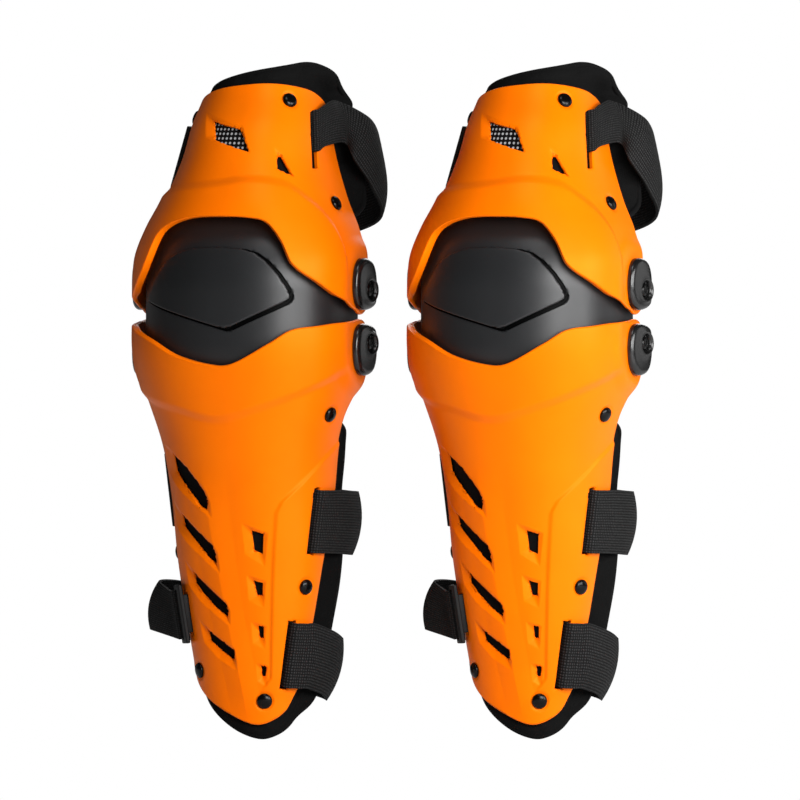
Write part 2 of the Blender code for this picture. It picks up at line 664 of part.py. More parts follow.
def strap_stations(surface, side_edges, strap):
    """Low and high edge points of a strap from the right slot, round the leg, to the left hook."""
    half = STRAP_THICKNESS / 2
    rows = []

    def on_surface(ends, turn, lift, share=0.0):
        edges = []
        for degrees, height in ends:
            per_degree = (surface(degrees + 0.5, height) - surface(degrees - 0.5, height)).length
            angle = degrees + turn / per_degree + share * (edge - degrees)
            edges.append(surface(angle, height) + outward(surface, angle, height) * lift)
        rows.append(edges)

    right, left = strap["right"], strap["left"]
    rest = half + STRAP_LIFT
    edge = smooth_curve(side_edges, (right[0][1] + right[1][1]) / 2)
    for turn, lift, share in (
        (0.0, -SHELL_WALL - FIT_GAP - STRAP_TAIL, 0.0),
        (0.0, -SHELL_WALL / 2, 0.0),
        (STRAP_BEND / 6, half, 0.0),
        (STRAP_BEND, half + STRAP_ARCH, 0.0),
        (3 * STRAP_BEND, rest, 0.0),
        (0.0, rest, 0.6),
        (0.0, rest, 1.0),
    ):
        on_surface(right, turn, lift, share)
    loop = [Vector(place[:3]) for place in strap["loop"]]
    last = len(loop) - 1
    for k, middle in enumerate(loop):
        ahead = (loop[min(k + 1, last)] - loop[max(k - 1, 0)]).normalized()
        upward = (Vector((0, 0, 1)) - ahead * ahead.z).normalized()
        width = (right[1][1] - right[0][1]) * (1 - k / last) + (left[1][1] - left[0][1]) * k / last
        to_edge = upward * (width / 2) + Vector((strap["loop"][k][3] / 2, 0, 0))
        rows.append([middle - to_edge, middle + to_edge])
    over = HOOK_LIFT + HOOK_THICKNESS + half
    bar = HOOK_HALF_LENGTH - HOOK_BAR
    frame = hook_frame(surface, strap)
    tall = (left[1][1] - left[0][1]) / 2
    for along, lift in (
        (-HOOK_HALF_LENGTH - STRAP_APPROACH, over),
        (-HOOK_HALF_LENGTH + HOOK_BAR / 2, over + STRAP_OVER_BAR),
        (-bar + STRAP_DIP * HOOK_WINDOW, over - FIT_GAP / 2),
        (-bar + STRAP_END * HOOK_WINDOW, HOOK_LIFT + half),
    ):
        rows.append([frame @ Vector((along, -tall, lift)), frame @ Vector((along, tall, lift))])
    return rows


def curve_through(points):
    """Close steps along a smooth curve through points."""
    dense = []
    count = len(points)
    for i in range(count - 1):
        before = points[max(i - 1, 0)]
        start, end = points[i], points[i + 1]
        after = points[min(i + 2, count - 1)]
        for k in range(CURVE_STEPS):
            t = k / CURVE_STEPS
            dense.append(0.5 * (2 * start + (end - before) * t
                                + (2 * before - 5 * start + 4 * end - after) * t ** 2
                                + (3 * start - before - 3 * end + after) * t ** 3))
    dense.append(points[-1])
    return dense


def strap_mesh(name, rows):
    """A flat band along its low and high edges."""
    low = curve_through([row[0] for row in rows])
    high = curve_through([row[1] for row in rows])
    middle = [(a + b) / 2 for a, b in zip(low, high)]
    keep = [0]
    for i in range(1, len(middle) - 1):
        step = middle[i] - middle[keep[-1]]
        if step.length < STRAP_STEP_MIN:
            continue
        ahead = (middle[i + 1] - middle[i]).normalized()
        turn = step.normalized().angle(ahead)
        if step.length > STRAP_STEP_MAX or turn * step.length > STRAP_SAG_LIMIT:
            keep.append(i)
    keep.append(len(middle) - 1)
    front, back = [], []
    for n, i in enumerate(keep):
        before = keep[max(n - 1, 0)]
        after = keep[min(n + 1, len(keep) - 1)]
        edge = high[i] - low[i]
        normal = (middle[after] - middle[before]).cross(edge).normalized() * (STRAP_THICKNESS / 2)
        front.append([low[i] + normal, high[i] + normal])
        back.append([low[i] - normal, high[i] - normal])
    return slab_mesh(name, front, back)


def hook_mesh(name, half_height):
    """A strap hook in its own frame: X towards the front, Y up, Z outward."""
    window = half_height + HOLE_CLEARANCE
    rail = window + HOOK_RAIL
    bar = -HOOK_HALF_LENGTH + HOOK_BAR
    across = (-HOOK_HALF_LENGTH, bar, bar + HOOK_WINDOW, TONGUE_BACK, TONGUE_FRONT, HOOK_HALF_LENGTH)
    tongue = half_height * TONGUE_SHARE
    upward = (-rail, -window, -tongue, tongue, window, rail)
    outward_lines = (-HOOK_TONGUE, HOOK_LIFT, HOOK_LIFT + HOOK_THICKNESS)

    def filled(i, j, k):
        if k == 0:
            return i == 3 and j == 2
        return not (i == 1 and 1 <= j <= 3)

    return cell_mesh(name, (across, upward, outward_lines), filled)


def cap_mesh(name, turn):
    """A hinge cap: a shield whose face toes in towards the front, Z outward; turn picks its hand."""
    count = len(CAP_OUTLINE)
    points = []
    for height, inset in CAP_RINGS:
        for x, y in CAP_OUTLINE:
            edge = Vector((turn * x, y))
            edge -= edge.normalized() * inset
            toe = 1 - math.tan(CAP_TOE) * x / CAP_THICKNESS
            points.append(Vector((edge.x, edge.y, height * toe)))
    top = (len(CAP_RINGS) - 1) * count
    faces = [tuple(range(count)), tuple(range(top, top + count))]
    for ring in range(0, top, count):
        for k in range(count):
            after = (k + 1) % count
            faces.append((ring + k, ring + after, ring + count + after, ring + count + k))
    return closed_mesh(name, points, faces)


def pin_mesh(name):
    """A shouldered hinge rivet, Z outward, with z = 0 on the outside of the plate's ear."""
    cap_floor = FIT_GAP + CAP_THICKNESS - CAP_RECESS_DEPTH
    cup_outer = CUP_HALF_WIDTH - HINGE_HALF_WIDTH
    shoulder_low = cup_outer + RUN_GAP
    shoulder_high = -SHELL_WALL - FIT_GAP
    foot_high = cup_outer - CUP_WALL - RUN_GAP
    head = cap_floor + FIT_GAP
    profile = (
        (0, foot_high - PIN_FOOT_HEIGHT), (PIN_FOOT_RADIUS, foot_high - PIN_FOOT_HEIGHT),
        (PIN_FOOT_RADIUS, foot_high), (PIN_RADIUS, foot_high), (PIN_RADIUS, shoulder_low),
        (PIN_SHOULDER_RADIUS, shoulder_low), (PIN_SHOULDER_RADIUS, shoulder_high), (PIN_RADIUS, shoulder_high),
        (PIN_RADIUS, head), (PIN_HEAD_RADIUS, head), (PIN_HEAD_RADIUS * PIN_HEAD_TAPER, head + PIN_HEAD_HEIGHT),
        (0, head + PIN_HEAD_HEIGHT),
    )
    return turned_mesh(name, profile, ROUND_SEGMENTS)


def rivet_mesh(name):
    """A domed rivet, Z outward, with z = 0 on the outside of the plate."""
    foot = -SHELL_WALL - FIT_GAP - RIVET_BITE
    rest = RIVET_LIFT
    profile = (
        (0, foot), (RIVET_SHANK_RADIUS, foot), (RIVET_SHANK_RADIUS, rest), (RIVET_HEAD_RADIUS, rest),
        (RIVET_HEAD_RADIUS * RIVET_TAPER, rest + RIVET_HEAD_HEIGHT), (0, rest + RIVET_HEAD_HEIGHT),
    )
    return turned_mesh(name, profile, ROUND_SEGMENTS)


def plastic(name):
    """A Principled material from the colour table."""
    colour, roughness = COLOURS[name]
    material = bpy.data.materials.new(name)
    material.use_nodes = True
    shader = material.node_tree.nodes["Principled BSDF"]
    shader.inputs["Base Color"].default_value = (*colour, 1)
    shader.inputs["Roughness"].default_value = roughness
    shader.inputs["Metallic"].default_value = 0.0
    material.diffuse_color = (*colour, 1)
    return material


for old in list(bpy.data.objects):
    bpy.data.objects.remove(old, do_unlink=True)

MATERIALS = {name: plastic(name) for name in COLOURS}

# Meshes of one guard, in its own frame
across_fine = even_lines(18, crowd=0.18)
thigh_low = ear_edge(THIGH_RIM, UPPER_PIVOT, -1)
shin_high = ear_edge(SHIN_TOP, LOWER_PIVOT, 1)

THIGH_SIDES = (THIGH_SIDE, THIGH_SIDE)
SHIN_SIDES = (SHIN_HOOK_SIDE, SHIN_SIDE)
CUP_SIDES = (CUP_SIDE, CUP_SIDE)
thigh_places = patch_places(thigh_low, rim(THIGH_TOP), THIGH_SIDES, across_fine, even_lines(8, 0.0, 1.0))
shin_places = patch_places(rim(SHIN_RIM), shin_high, SHIN_SIDES, across_fine, SHIN_LINES)
cup_places = patch_places(rim(CUP_RIM), rim(CUP_TOP), CUP_SIDES, across_fine, even_lines(9, 0.0, 1.0))
thigh_shell = shell_mesh("thigh_shell", thigh_point, thigh_base, thigh_places, SHELL_WALL)
shin_shell = shell_mesh("shin_shell", shin_point, shin_base, shin_places, SHELL_WALL)
knee_cup = shell_mesh("knee_cup", cup_point, cup_base, cup_places, CUP_WALL)
shell_inset = SHELL_WALL + LINER_GAP
cup_inset = CUP_WALL + LINER_GAP
thigh_liner = liner_mesh("thigh_liner", thigh_base, shell_inset,
                         (THIGH_LINER_RIM, THIGH_LINER_TOP, THIGH_LINER_SIDE), THIGH_SIDES,
                         THIGH_LINER_FLARE, LINER_ACROSS, LINER_UPWARD)
shin_liner = liner_mesh("shin_liner", shin_base, shell_inset, (SHIN_LINER_RIM, SHIN_LINER_TOP, SHIN_LINER_SIDE),
                        SHIN_SIDES, SHIN_LINER_FLARE, LINER_ACROSS, LINER_UPWARD)
knee_liner = liner_mesh("knee_liner", cup_base, cup_inset, (KNEE_LINER_RIM, KNEE_LINER_TOP, KNEE_LINER_SIDE),
                        CUP_SIDES, KNEE_LINER_FLARE, KNEE_LINER_ACROSS, KNEE_LINER_UPWARD)
pin = pin_mesh("hinge_pin")
caps = {turn: cap_mesh("hinge_cap", turn) for turn in (-1, 1)}
rivet = rivet_mesh("rivet")

# Cutters of one guard
pin_hole = round_hole(PIN_RADIUS + HOLE_CLEARANCE, PIN_HOLE_DEPTH)
rivet_hole = round_hole(RIVET_SHANK_RADIUS + HOLE_CLEARANCE, SHELL_WALL + 2 * FIT_GAP + RIVET_BITE)
cap_floor = CAP_THICKNESS - CAP_RECESS_DEPTH
cap_bore = PIN_RADIUS + HOLE_CLEARANCE
cap_hole = turned_mesh("cap_hole", ((0, -CUT_OUTWARD), (cap_bore, -CUT_OUTWARD), (cap_bore, cap_floor),
                                    (CAP_RECESS_RADIUS, cap_floor), (CAP_RECESS_RADIUS, 2 * CUT_OUTWARD),
                                    (0, 2 * CUT_OUTWARD)), CAP_SEGMENTS)
thigh_holes = [(pin_hole, hinge_frame(side, UPPER_PIVOT, HINGE_HALF_WIDTH)) for side in (-1, 1)]
shin_holes = [(pin_hole, hinge_frame(side, LOWER_PIVOT, HINGE_HALF_WIDTH)) for side in (-1, 1)]
fastenings = {}
for region, surface, rivets, names in (
    ("thigh", thigh_point, THIGH_RIVETS, ("thigh",)),
    ("shin", shin_point, SHIN_RIVETS, ("calf", "ankle")),
):
    pieces = [(rivet_hole, surface_frame(surface, *place)) for place in rivets.values()]
    slots = [slot_corners(surface, STRAPS[name]["right"]) for name in names]
    pieces.append((prism_mesh("slots", surface, slots), Matrix.Identity(4)))
    pieces += [tongue_slot(surface, STRAPS[name]) for name in names]
    fastenings[region] = joined_mesh(region + "_fastening_cutter", pieces)
vents = {
    "thigh": joined_mesh("thigh_vent_cutter", thigh_holes + [(prism_mesh("vents", thigh_point, THIGH_VENTS),
                                                             Matrix.Identity(4))]),
    "shin": joined_mesh("shin_vent_cutter", shin_holes + [(prism_mesh("vents", shin_point, SHIN_VENTS),
                                                          Matrix.Identity(4))]),
    "cup": joined_mesh("cup_hole_cutter", thigh_holes + shin_holes),
    "cap": cap_hole,
}


def apply_cut(mesh, cutters):
    """Cut a mesh by closed cutters and keep the result as a new mesh."""
    body = bpy.data.objects.new("cut_body", mesh)
    bpy.context.collection.objects.link(body)
    tools = []
    for cutter in cutters:
        tool = bpy.data.objects.new("cut_tool", cutter)
        bpy.context.collection.objects.link(tool)
        modifier = body.modifiers.new("cut", "BOOLEAN")
        modifier.operation = "DIFFERENCE"
        modifier.solver = "EXACT"
        modifier.object = tool
        tools.append(tool)
    graph = bpy.context.evaluated_depsgraph_get()
    result = bpy.data.meshes.new_from_object(body.evaluated_get(graph))
    result.name = mesh.name
    for item in [body] + tools:
        bpy.data.objects.remove(item, do_unlink=True)
    return result


thigh_shell = apply_cut(thigh_shell, [vents["thigh"], fastenings["thigh"]])
shin_shell = apply_cut(shin_shell, [vents["shin"], fastenings["shin"]])
knee_cup = apply_cut(knee_cup, [vents["cup"]])
thigh_liner = apply_cut(thigh_liner, [fastenings["thigh"]])
shin_liner = apply_cut(shin_liner, [fastenings["shin"]])
caps = {turn: apply_cut(mesh, [vents["cap"]]) for turn, mesh in caps.items()}


def empty(name, parent, location):
    """A joint or pad marker."""
    marker = bpy.data.objects.new(name, None)
    marker.parent = parent
    marker.location = location
    bpy.context.collection.objects.link(marker)
    return marker


def add(name, mesh, material, parent, origin, matrix=None):
    """Place one piece under its joint's marker; origin is that marker's place in the guard."""
    piece = bpy.data.objects.new(name, mesh.copy())
    piece.data.name = name
    piece.data.materials.clear()
    piece.data.materials.append(MATERIALS[material])
    piece.parent = parent
    piece.matrix_local = Matrix.Translation(-origin) @ (matrix or Matrix.Identity(4))
    bpy.context.collection.objects.link(piece)
    piece.data.shade_smooth()
    piece.data.set_sharp_from_angle(angle=math.radians(35))
    return piece


def add_hinge(pad, level, side_name, side, pivot, parent, origin):
    """One hinge cap and its pin; the cap reaches further forward than back."""
    seat = hinge_frame(side, pivot, HINGE_HALF_WIDTH)
    above = seat @ Matrix.Translation((0, 0, FIT_GAP))
    turn = 1 if seat.col[0].y < 0 else -1
    add(f"{pad}_{level}_{side_name}_hinge_cap", caps[turn], "cap_plastic", parent, origin, above)
    add(f"{pad}_{level}_{side_name}_hinge_pin", pin, "rivet_steel", parent, origin, seat)


def add_strap(pad, name, surface, side_edges, parent, origin):
    """One strap and the hook on its free end."""
    strap = STRAPS[name]
    rows = strap_stations(surface, side_edges, strap)
    add(f"{pad}_{name}_strap", strap_mesh(name, rows), "elastic_webbing", parent, origin)
    half_height = (strap["left"][1][1] - strap["left"][0][1]) / 2
    frame = hook_frame(surface, strap)
    add(f"{pad}_{name}_strap_hook", hook_mesh(name, half_height), "cap_plastic", parent, origin, frame)


def add_pad(pad, x):
    """One whole guard: shin pieces carry the cup, and the cup carries the thigh pieces."""
    base = empty(f"{pad}_pad", None, Vector((x, 0, 0)))
    knee = empty(f"{pad}_knee_pivot", base, LOWER_PIVOT)
    thigh = empty(f"{pad}_thigh_pivot", knee, UPPER_PIVOT - LOWER_PIVOT)
    still = Vector((0, 0, 0))
    add(f"{pad}_shin_shell", shin_shell, "orange_plastic", base, still)
    add(f"{pad}_shin_liner", shin_liner, "foam_fabric", base, still)
    add(f"{pad}_knee_cup", knee_cup, "black_plastic", knee, LOWER_PIVOT)
    add(f"{pad}_knee_liner", knee_liner, "foam_fabric", knee, LOWER_PIVOT)
    add(f"{pad}_thigh_shell", thigh_shell, "orange_plastic", thigh, UPPER_PIVOT)
    add(f"{pad}_thigh_liner", thigh_liner, "foam_fabric", thigh, UPPER_PIVOT)
    for side_name, side in (("left", -1), ("right", 1)):
        add_hinge(pad, "upper", side_name, side, UPPER_PIVOT, thigh, UPPER_PIVOT)
        add_hinge(pad, "lower", side_name, side, LOWER_PIVOT, base, still)
    for place_name, place in THIGH_RIVETS.items():
        frame = surface_frame(thigh_point, *place)
        add(f"{pad}_thigh_rivet_{place_name}", rivet, "rivet_steel", thigh, UPPER_PIVOT, frame)
    for place_name, place in SHIN_RIVETS.items():
        frame = surface_frame(shin_point, *place)
        add(f"{pad}_shin_rivet_{place_name}", rivet, "rivet_steel", base, still, frame)
    add_strap(pad, "thigh", thigh_point, THIGH_SIDE, thigh, UPPER_PIVOT)
    add_strap(pad, "calf", shin_point, SHIN_SIDE, base, still)
    add_strap(pad, "ankle", shin_point, SHIN_SIDE, base, still)


for pad_name, pad_x in (("left", -PAD_SPACING / 2), ("right", PAD_SPACING / 2)):
    add_pad(pad_name, pad_x)
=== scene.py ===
# %% [markdown]
# # A pair of hinged knee and shin guards
# Three hard plates follow the bent leg: one over the thigh, a cup over the knee and a long one over the
# shin. Two riveted hinges on each side join them. Foam liners sit behind the plates, and three elastic
# straps close behind the leg with hooks. Both guards of the pair are alike, so each piece is modelled once,
# for the left guard, and copied for the right one.

# %% Load the frame
import json
import math

import bmesh
import bpy
import numpy as np
from mathutils import Matrix, Vector

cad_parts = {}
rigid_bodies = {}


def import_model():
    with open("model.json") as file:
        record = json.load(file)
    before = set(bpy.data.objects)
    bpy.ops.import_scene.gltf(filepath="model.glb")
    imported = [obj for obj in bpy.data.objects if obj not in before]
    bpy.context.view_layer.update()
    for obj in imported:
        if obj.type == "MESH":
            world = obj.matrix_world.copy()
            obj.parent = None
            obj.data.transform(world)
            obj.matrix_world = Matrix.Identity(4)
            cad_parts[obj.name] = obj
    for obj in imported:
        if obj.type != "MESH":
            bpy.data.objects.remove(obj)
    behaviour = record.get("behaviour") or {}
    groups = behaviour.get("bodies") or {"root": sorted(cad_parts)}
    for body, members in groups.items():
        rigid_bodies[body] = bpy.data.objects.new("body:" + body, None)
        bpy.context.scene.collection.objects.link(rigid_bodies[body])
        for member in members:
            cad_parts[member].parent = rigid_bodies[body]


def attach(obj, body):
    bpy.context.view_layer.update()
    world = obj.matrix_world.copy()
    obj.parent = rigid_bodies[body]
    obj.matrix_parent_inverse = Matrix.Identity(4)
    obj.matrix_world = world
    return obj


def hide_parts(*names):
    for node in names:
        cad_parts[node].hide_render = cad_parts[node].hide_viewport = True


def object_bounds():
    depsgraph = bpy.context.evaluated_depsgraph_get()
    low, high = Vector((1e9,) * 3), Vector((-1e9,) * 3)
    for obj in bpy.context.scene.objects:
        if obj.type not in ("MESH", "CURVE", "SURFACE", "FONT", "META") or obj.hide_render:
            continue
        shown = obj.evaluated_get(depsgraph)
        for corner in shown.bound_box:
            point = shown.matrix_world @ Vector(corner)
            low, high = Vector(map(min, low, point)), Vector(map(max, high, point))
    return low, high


bpy.ops.object.select_all(action="SELECT")
bpy.ops.object.delete()
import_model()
cad_low, cad_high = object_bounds()
bpy.ops.object.select_all(action="DESELECT")

# %% [markdown]
# ## The mould shapes
# A moulded plate is easiest to think of as a stack of flattened ovals. Each row below gives a height above
# the knee, the half width, the forward reach and how far the oval's centre is set back. A place on a plate
# is then an angle from the front, in degrees, and a height.

# %% Ovals of the thigh and shin plates
PAD_SPACING = 0.209
HALF_WIDTH = 0.0815
UPPER_HINGE = 0.019
LOWER_HINGE = -0.019
WALL = 0.003
OVAL_POWER = 2.4
HINGE_FLAT = (0.026, 0.040)  # flat out to the first radius, blended out to the second
THIGH_SECTIONS = (
    (-0.020, HALF_WIDTH, 0.0800, 0.000), (0.031, HALF_WIDTH, 0.0785, 0.001), (0.045, 0.0810, 0.0805, 0.005),
    (0.064, 0.0745, 0.0835, 0.012), (0.083, 0.0650, 0.0835, 0.018), (0.111, 0.0545, 0.0755, 0.024),
    (0.137, 0.0485, 0.0650, 0.026), (0.160, 0.0425, 0.0560, 0.033), (0.185, 0.0395, 0.0510, 0.040),
)
SHIN_SECTIONS = (
    (-0.300, 0.0370, 0.0380, 0.008), (-0.259, 0.0420, 0.0420, 0.008), (-0.218, 0.0485, 0.0465, 0.007),
    (-0.173, 0.0555, 0.0515, 0.007), (-0.127, 0.0595, 0.0615, 0.0085), (-0.090, 0.0655, 0.0715, 0.009),
    (-0.045, 0.0795, 0.0840, 0.0085), (-0.020, HALF_WIDTH, 0.0800, 0.000), (0.020, HALF_WIDTH, 0.0800, 0.000),
)


def curve(points, value):
    """A smooth line through (place, height) points, held level past both ends."""
    x, y = np.array(points, float).T
    slope = np.concatenate(([(y[1] - y[0]) / (x[1] - x[0])], (y[2:] - y[:-2]) / (x[2:] - x[:-2]),
                            [(y[-1] - y[-2]) / (x[-1] - x[-2])]))
    value = np.clip(value, x[0], x[-1])
    i = np.clip(np.searchsorted(x, value, side="right") - 1, 0, len(x) - 2)
    run = x[i + 1] - x[i]
    rise = y[i + 1] - y[i]
    t = (value - x[i]) / run
    bend = (slope[i] * run - rise) * (1 - t) + (rise - slope[i + 1] * run) * t
    return y[i] + rise * t + t * (1 - t) * bend


def mirrored(half):
    """A line of (degrees, height) points that is alike on both sides, from its right half."""
    return tuple((-degrees, height) for degrees, height in half[:0:-1]) + half


def ease(low, high, value):
    """Go smoothly from 0 at low to 1 at high."""
    t = np.clip((value - low) / (high - low), 0, 1)
    return t * t * (3 - 2 * t)


def paired(degrees, height):
    """Angles and heights as arrays of one shape."""
    return np.broadcast_arrays(np.asarray(degrees, float), np.asarray(height, float))


def plate(sections, hinge, degrees, height, grow=0.0):
    """Points of a plate's outside, pressed flat round the hinge."""
    degrees, height = paired(degrees, height)
    half, reach, back = (curve([(s[0], s[k]) for s in sections], height) for k in (1, 2, 3))
    angle = np.radians(degrees)
    across = np.abs(np.sin(angle)) / (half + grow)
    along = np.abs(np.cos(angle)) / (reach + grow)
    radius = (across ** OVAL_POWER + along ** OVAL_POWER) ** (-1 / OVAL_POWER)
    points = np.stack([radius * np.sin(angle), back - radius * np.cos(angle), height], -1)
    flat = 1 - ease(*HINGE_FLAT, np.hypot(points[..., 1], height - hinge))
    points[..., 0] += (np.copysign(HALF_WIDTH, points[..., 0]) - points[..., 0]) * flat
    return points


def thigh_base(degrees, height):
    return plate(THIGH_SECTIONS, UPPER_HINGE, degrees, height)


def shin_base(degrees, height):
    return plate(SHIN_SECTIONS, LOWER_HINGE, degrees, height)


def outward(surface, degrees, height):
    """The outward direction of a surface."""
    across = surface(degrees + 0.5, height) - surface(degrees - 0.5, height)
    upward = surface(degrees, height + 0.0005) - surface(degrees, height - 0.0005)
    normal = np.cross(across, upward)
    return normal / np.linalg.norm(normal, axis=-1, keepdims=True)


def per_degree(surface, degrees, height):
    """Metres along the surface for one degree."""
    return np.linalg.norm(surface(degrees + 0.5, height) - surface(degrees - 0.5, height), axis=-1)


print("thigh plate's front at the vents:", thigh_base(0.0, 0.13).round(4))

# %% [markdown]
# The mould adds steps to the plain ovals. On the thigh a hood flares out below an arched crease. On the
# shin a bowl flares out above a crease in the shape of a V, a panel on the right side stands a little proud
# and fades out above the lowest rivet, and a keel runs down the front. The rivets sit in shallow dimples.

# %% Steps of the moulds
THIGH_CREASE = (
    (-95, 0.076), (-80, 0.086), (-40, 0.094), (-8, 0.0985), (13, 0.102), (31, 0.0985), (43.5, 0.089),
    (57, 0.0755), (67, 0.0555), (72, 0.030), (95, 0.010),
)
SHIN_CREASE = (
    (-95, -0.050), (-49, -0.063), (-26, -0.070), (-2, -0.0775), (23, -0.068), (44, -0.0565), (68, -0.042),
    (95, -0.024),
)
SHIN_PANEL = np.array((
    (22, -0.320), (22, -0.268), (31, -0.258), (30.8, -0.196), (31.1, -0.140), (34.8, -0.1315), (63.5, -0.101),
    (80, -0.088), (120, -0.070), (120, -0.320),
))
SHIN_KEEL = (
    (-0.290, 10), (-0.268, 5), (-0.251, 1), (-0.2165, -6.5), (-0.177, -13), (-0.139, -16.5), (-0.116, -17),
)
THIGH_RIVETS = {
    "top_left": (-64.0, 0.142), "top_right": (36.0, 0.1548), "side_left": (-84.0, 0.066),
    "side_right": (70.5, 0.0813),
}
SHIN_RIVETS = {
    "upper_left": (-85.0, -0.072), "upper_right": (63.0, -0.0700), "middle_left": (-79.0, -0.168),
    "middle_right": (59.0, -0.193), "lower_left": (-47.0, -0.2525), "lower_right": (26.5, -0.2745),
}
SHIN_SCALE = (0.00093, 1.0)  # metres for a degree at the front of the shin, and for a metre of height
CREASE_RAISE = 0.0028
THIGH_CREASE_WIDTH, SHIN_CREASE_WIDTH = 0.007, 0.008
SHIN_PANEL_RAISE = 0.0014
SHIN_PANEL_FADE = (-0.276, -0.256)
KEEL_RAISE = 0.0016
KEEL_SPREAD = 16
KEEL_ENDS = ((-0.292, -0.262), (-0.102, -0.135))  # heights where it starts and is full, at both ends
DIMPLE_DEPTH = 0.0009
DIMPLE_RADIUS = 0.0074
DIMPLE_EDGE = 0.0016


def from_outline(points, corners):
    """Distances of points from a closed outline, negative inside."""
    best = np.full(len(points), np.inf)
    inside = np.zeros(len(points), bool)
    for start, end in zip(corners, np.roll(corners, -1, 0)):
        along = end - start
        t = np.clip((points - start) @ along / (along @ along), 0, 1)
        best = np.minimum(best, np.linalg.norm(points - start - t[:, None] * along, axis=1))
        spans = (start[1] > points[:, 1]) != (end[1] > points[:, 1])
        slant = along[0] / along[1] if along[1] else 0.0
        inside ^= spans & (points[:, 0] < start[0] + (points[:, 1] - start[1]) * slant)
    return np.where(inside, -best, best)


def thigh_surface(degrees, height):
    grow = CREASE_RAISE * ease(0.0, THIGH_CREASE_WIDTH, curve(THIGH_CREASE, degrees) - height)
    return plate(THIGH_SECTIONS, UPPER_HINGE, degrees, height, grow)


def shin_surface(degrees, height):
    grow = CREASE_RAISE * ease(0.0, SHIN_CREASE_WIDTH, height - curve(SHIN_CREASE, degrees))
    flat = np.stack(np.broadcast_arrays(degrees, height), -1) * SHIN_SCALE
    depth = -from_outline(flat.reshape(-1, 2), SHIN_PANEL * SHIN_SCALE).reshape(flat.shape[:-1])
    grow = grow + SHIN_PANEL_RAISE * ease(-0.0004, 0.0022, depth) * ease(*SHIN_PANEL_FADE, height)
    keel = np.clip(1 - np.abs(degrees - curve(SHIN_KEEL, height)) / KEEL_SPREAD, 0, 1)
    fade = ease(*KEEL_ENDS[0], height) * ease(*KEEL_ENDS[1], height)
    return plate(SHIN_SECTIONS, LOWER_HINGE, degrees, height, grow + KEEL_RAISE * keel * fade)


def dimples(surface, rivets, points):
    """How deep the dimples round the rivets are at some points."""
    depth = np.zeros(points.shape[:-1])
    for place in rivets.values():
        away = np.linalg.norm(points - surface(*place), axis=-1)
        depth += DIMPLE_DEPTH * (1 - ease(DIMPLE_RADIUS - DIMPLE_EDGE, DIMPLE_RADIUS, away))
    return depth


print("crease over the thigh at", curve(THIGH_CREASE, 0.0), "m")
print("crease on the shin at", curve(SHIN_CREASE, 0.0), "m")

# %% [markdown]
# ## Pressing a plate
# The real plates are injection moulded. Here a flat grid is pressed into shape: every point of the sheet
# gets its angle and height from the plate's outline, and then its place on the mould. While the sheet is
# still flat, it is scored along every outline, like card along a ruler, and the faces inside openings are
# deleted. So the edges stay clean. Round the vents the mould has a sunken dish, deepest at the opening.

# %% Tools for sheets
FLAT = np.array((0.001, 1.0))  # a flat sheet has a millimetre for each degree
SCORE_REACH = 0.0013


def get_points(piece):
    points = np.empty(len(piece.data.vertices) * 3)
    piece.data.vertices.foreach_get("co", points)
    return points.reshape(-1, 3)


def set_points(piece, points):
    piece.data.vertices.foreach_set("co", np.asarray(points, float).ravel())
    piece.data.update()


def mark(piece, name, values):
    """Keep a number on each point, for a material to read."""
    piece.data.attributes.new(name, "FLOAT", "POINT").data.foreach_set("value", values)


def flat_grid(name, across, upward):
    """A flat sheet whose corners are at (-1, 0) and (1, 1)."""
    bpy.ops.mesh.primitive_grid_add(x_subdivisions=across, y_subdivisions=upward, size=2)
    piece = bpy.context.object
    piece.name = piece.data.name = name
    points = get_points(piece)
    return piece, points[:, 0], (points[:, 1] + 1) / 2


def rim(points):
    """A rim as a function of the angle."""
    return lambda degrees: curve(points, degrees)


def lay_out(u, v, low, high, left, right):
    """Angles and heights of a sheet's points, between two rims and two side edges."""
    degrees = 90 * u
    for _ in range(8):
        height = low(degrees) * (1 - v) + high(degrees) * v
        degrees = u * np.where(u < 0, curve(left, height), curve(right, height))
    return degrees, height


def score(shape, corners):
    """Cut a flat sheet along an outline, so that the outline's lines become edges of the sheet."""
    corners = [Vector((x, y, 0)) for x, y in np.asarray(corners, float) * FLAT]
    left, right = (pick(c.x for c in corners) for pick in (min, max))
    low, high = (pick(c.y for c in corners) for pick in (min, max))
    near = set()
    for face in shape.faces:
        x, y, _ = face.calc_center_median()
        if (left - SCORE_REACH < x < right + SCORE_REACH) and (low - SCORE_REACH < y < high + SCORE_REACH):
            near.add(face)
    for start, end in zip(corners, corners[1:] + corners[:1]):
        along = end - start
        touched = set()
        for face in near:
            from_start = face.calc_center_median() - start
            share = min(max(from_start.dot(along) / along.length_squared, 0), 1)
            if (from_start - along * share).length < SCORE_REACH:
                touched |= {face, *face.edges, *face.verts}
        cut = bmesh.ops.bisect_plane(shape, geom=list(touched), dist=2e-6, plane_co=start,
                                     plane_no=along.cross((0, 0, 1)))
        near |= {part for part in cut["geom"] if isinstance(part, bmesh.types.BMFace)}


def trim(shape, corners):
    """Delete the faces inside an outline that the sheet was cut along."""
    middles = np.array([face.calc_center_median()[:2] for face in shape.faces])
    inside = from_outline(middles, np.asarray(corners, float) * FLAT) < 0
    gone = [face for face, hit in zip(shape.faces, inside) if hit]
    bmesh.ops.delete(shape, geom=gone, context="FACES")


print("sheet tools ready")

# %% [markdown]
# A pressed plate is then given its wall with Solidify, its inside is made plain, and its rim is rounded with
# Bevel. The small openings keep a sharper edge, which only sinks in a little.

# %% Tools for plates
RIM_ROUND = 0.0012
VENT_ROUND = 0.0005
DISH_DEPTH = 0.0024
DISH_SLOPE = 0.5


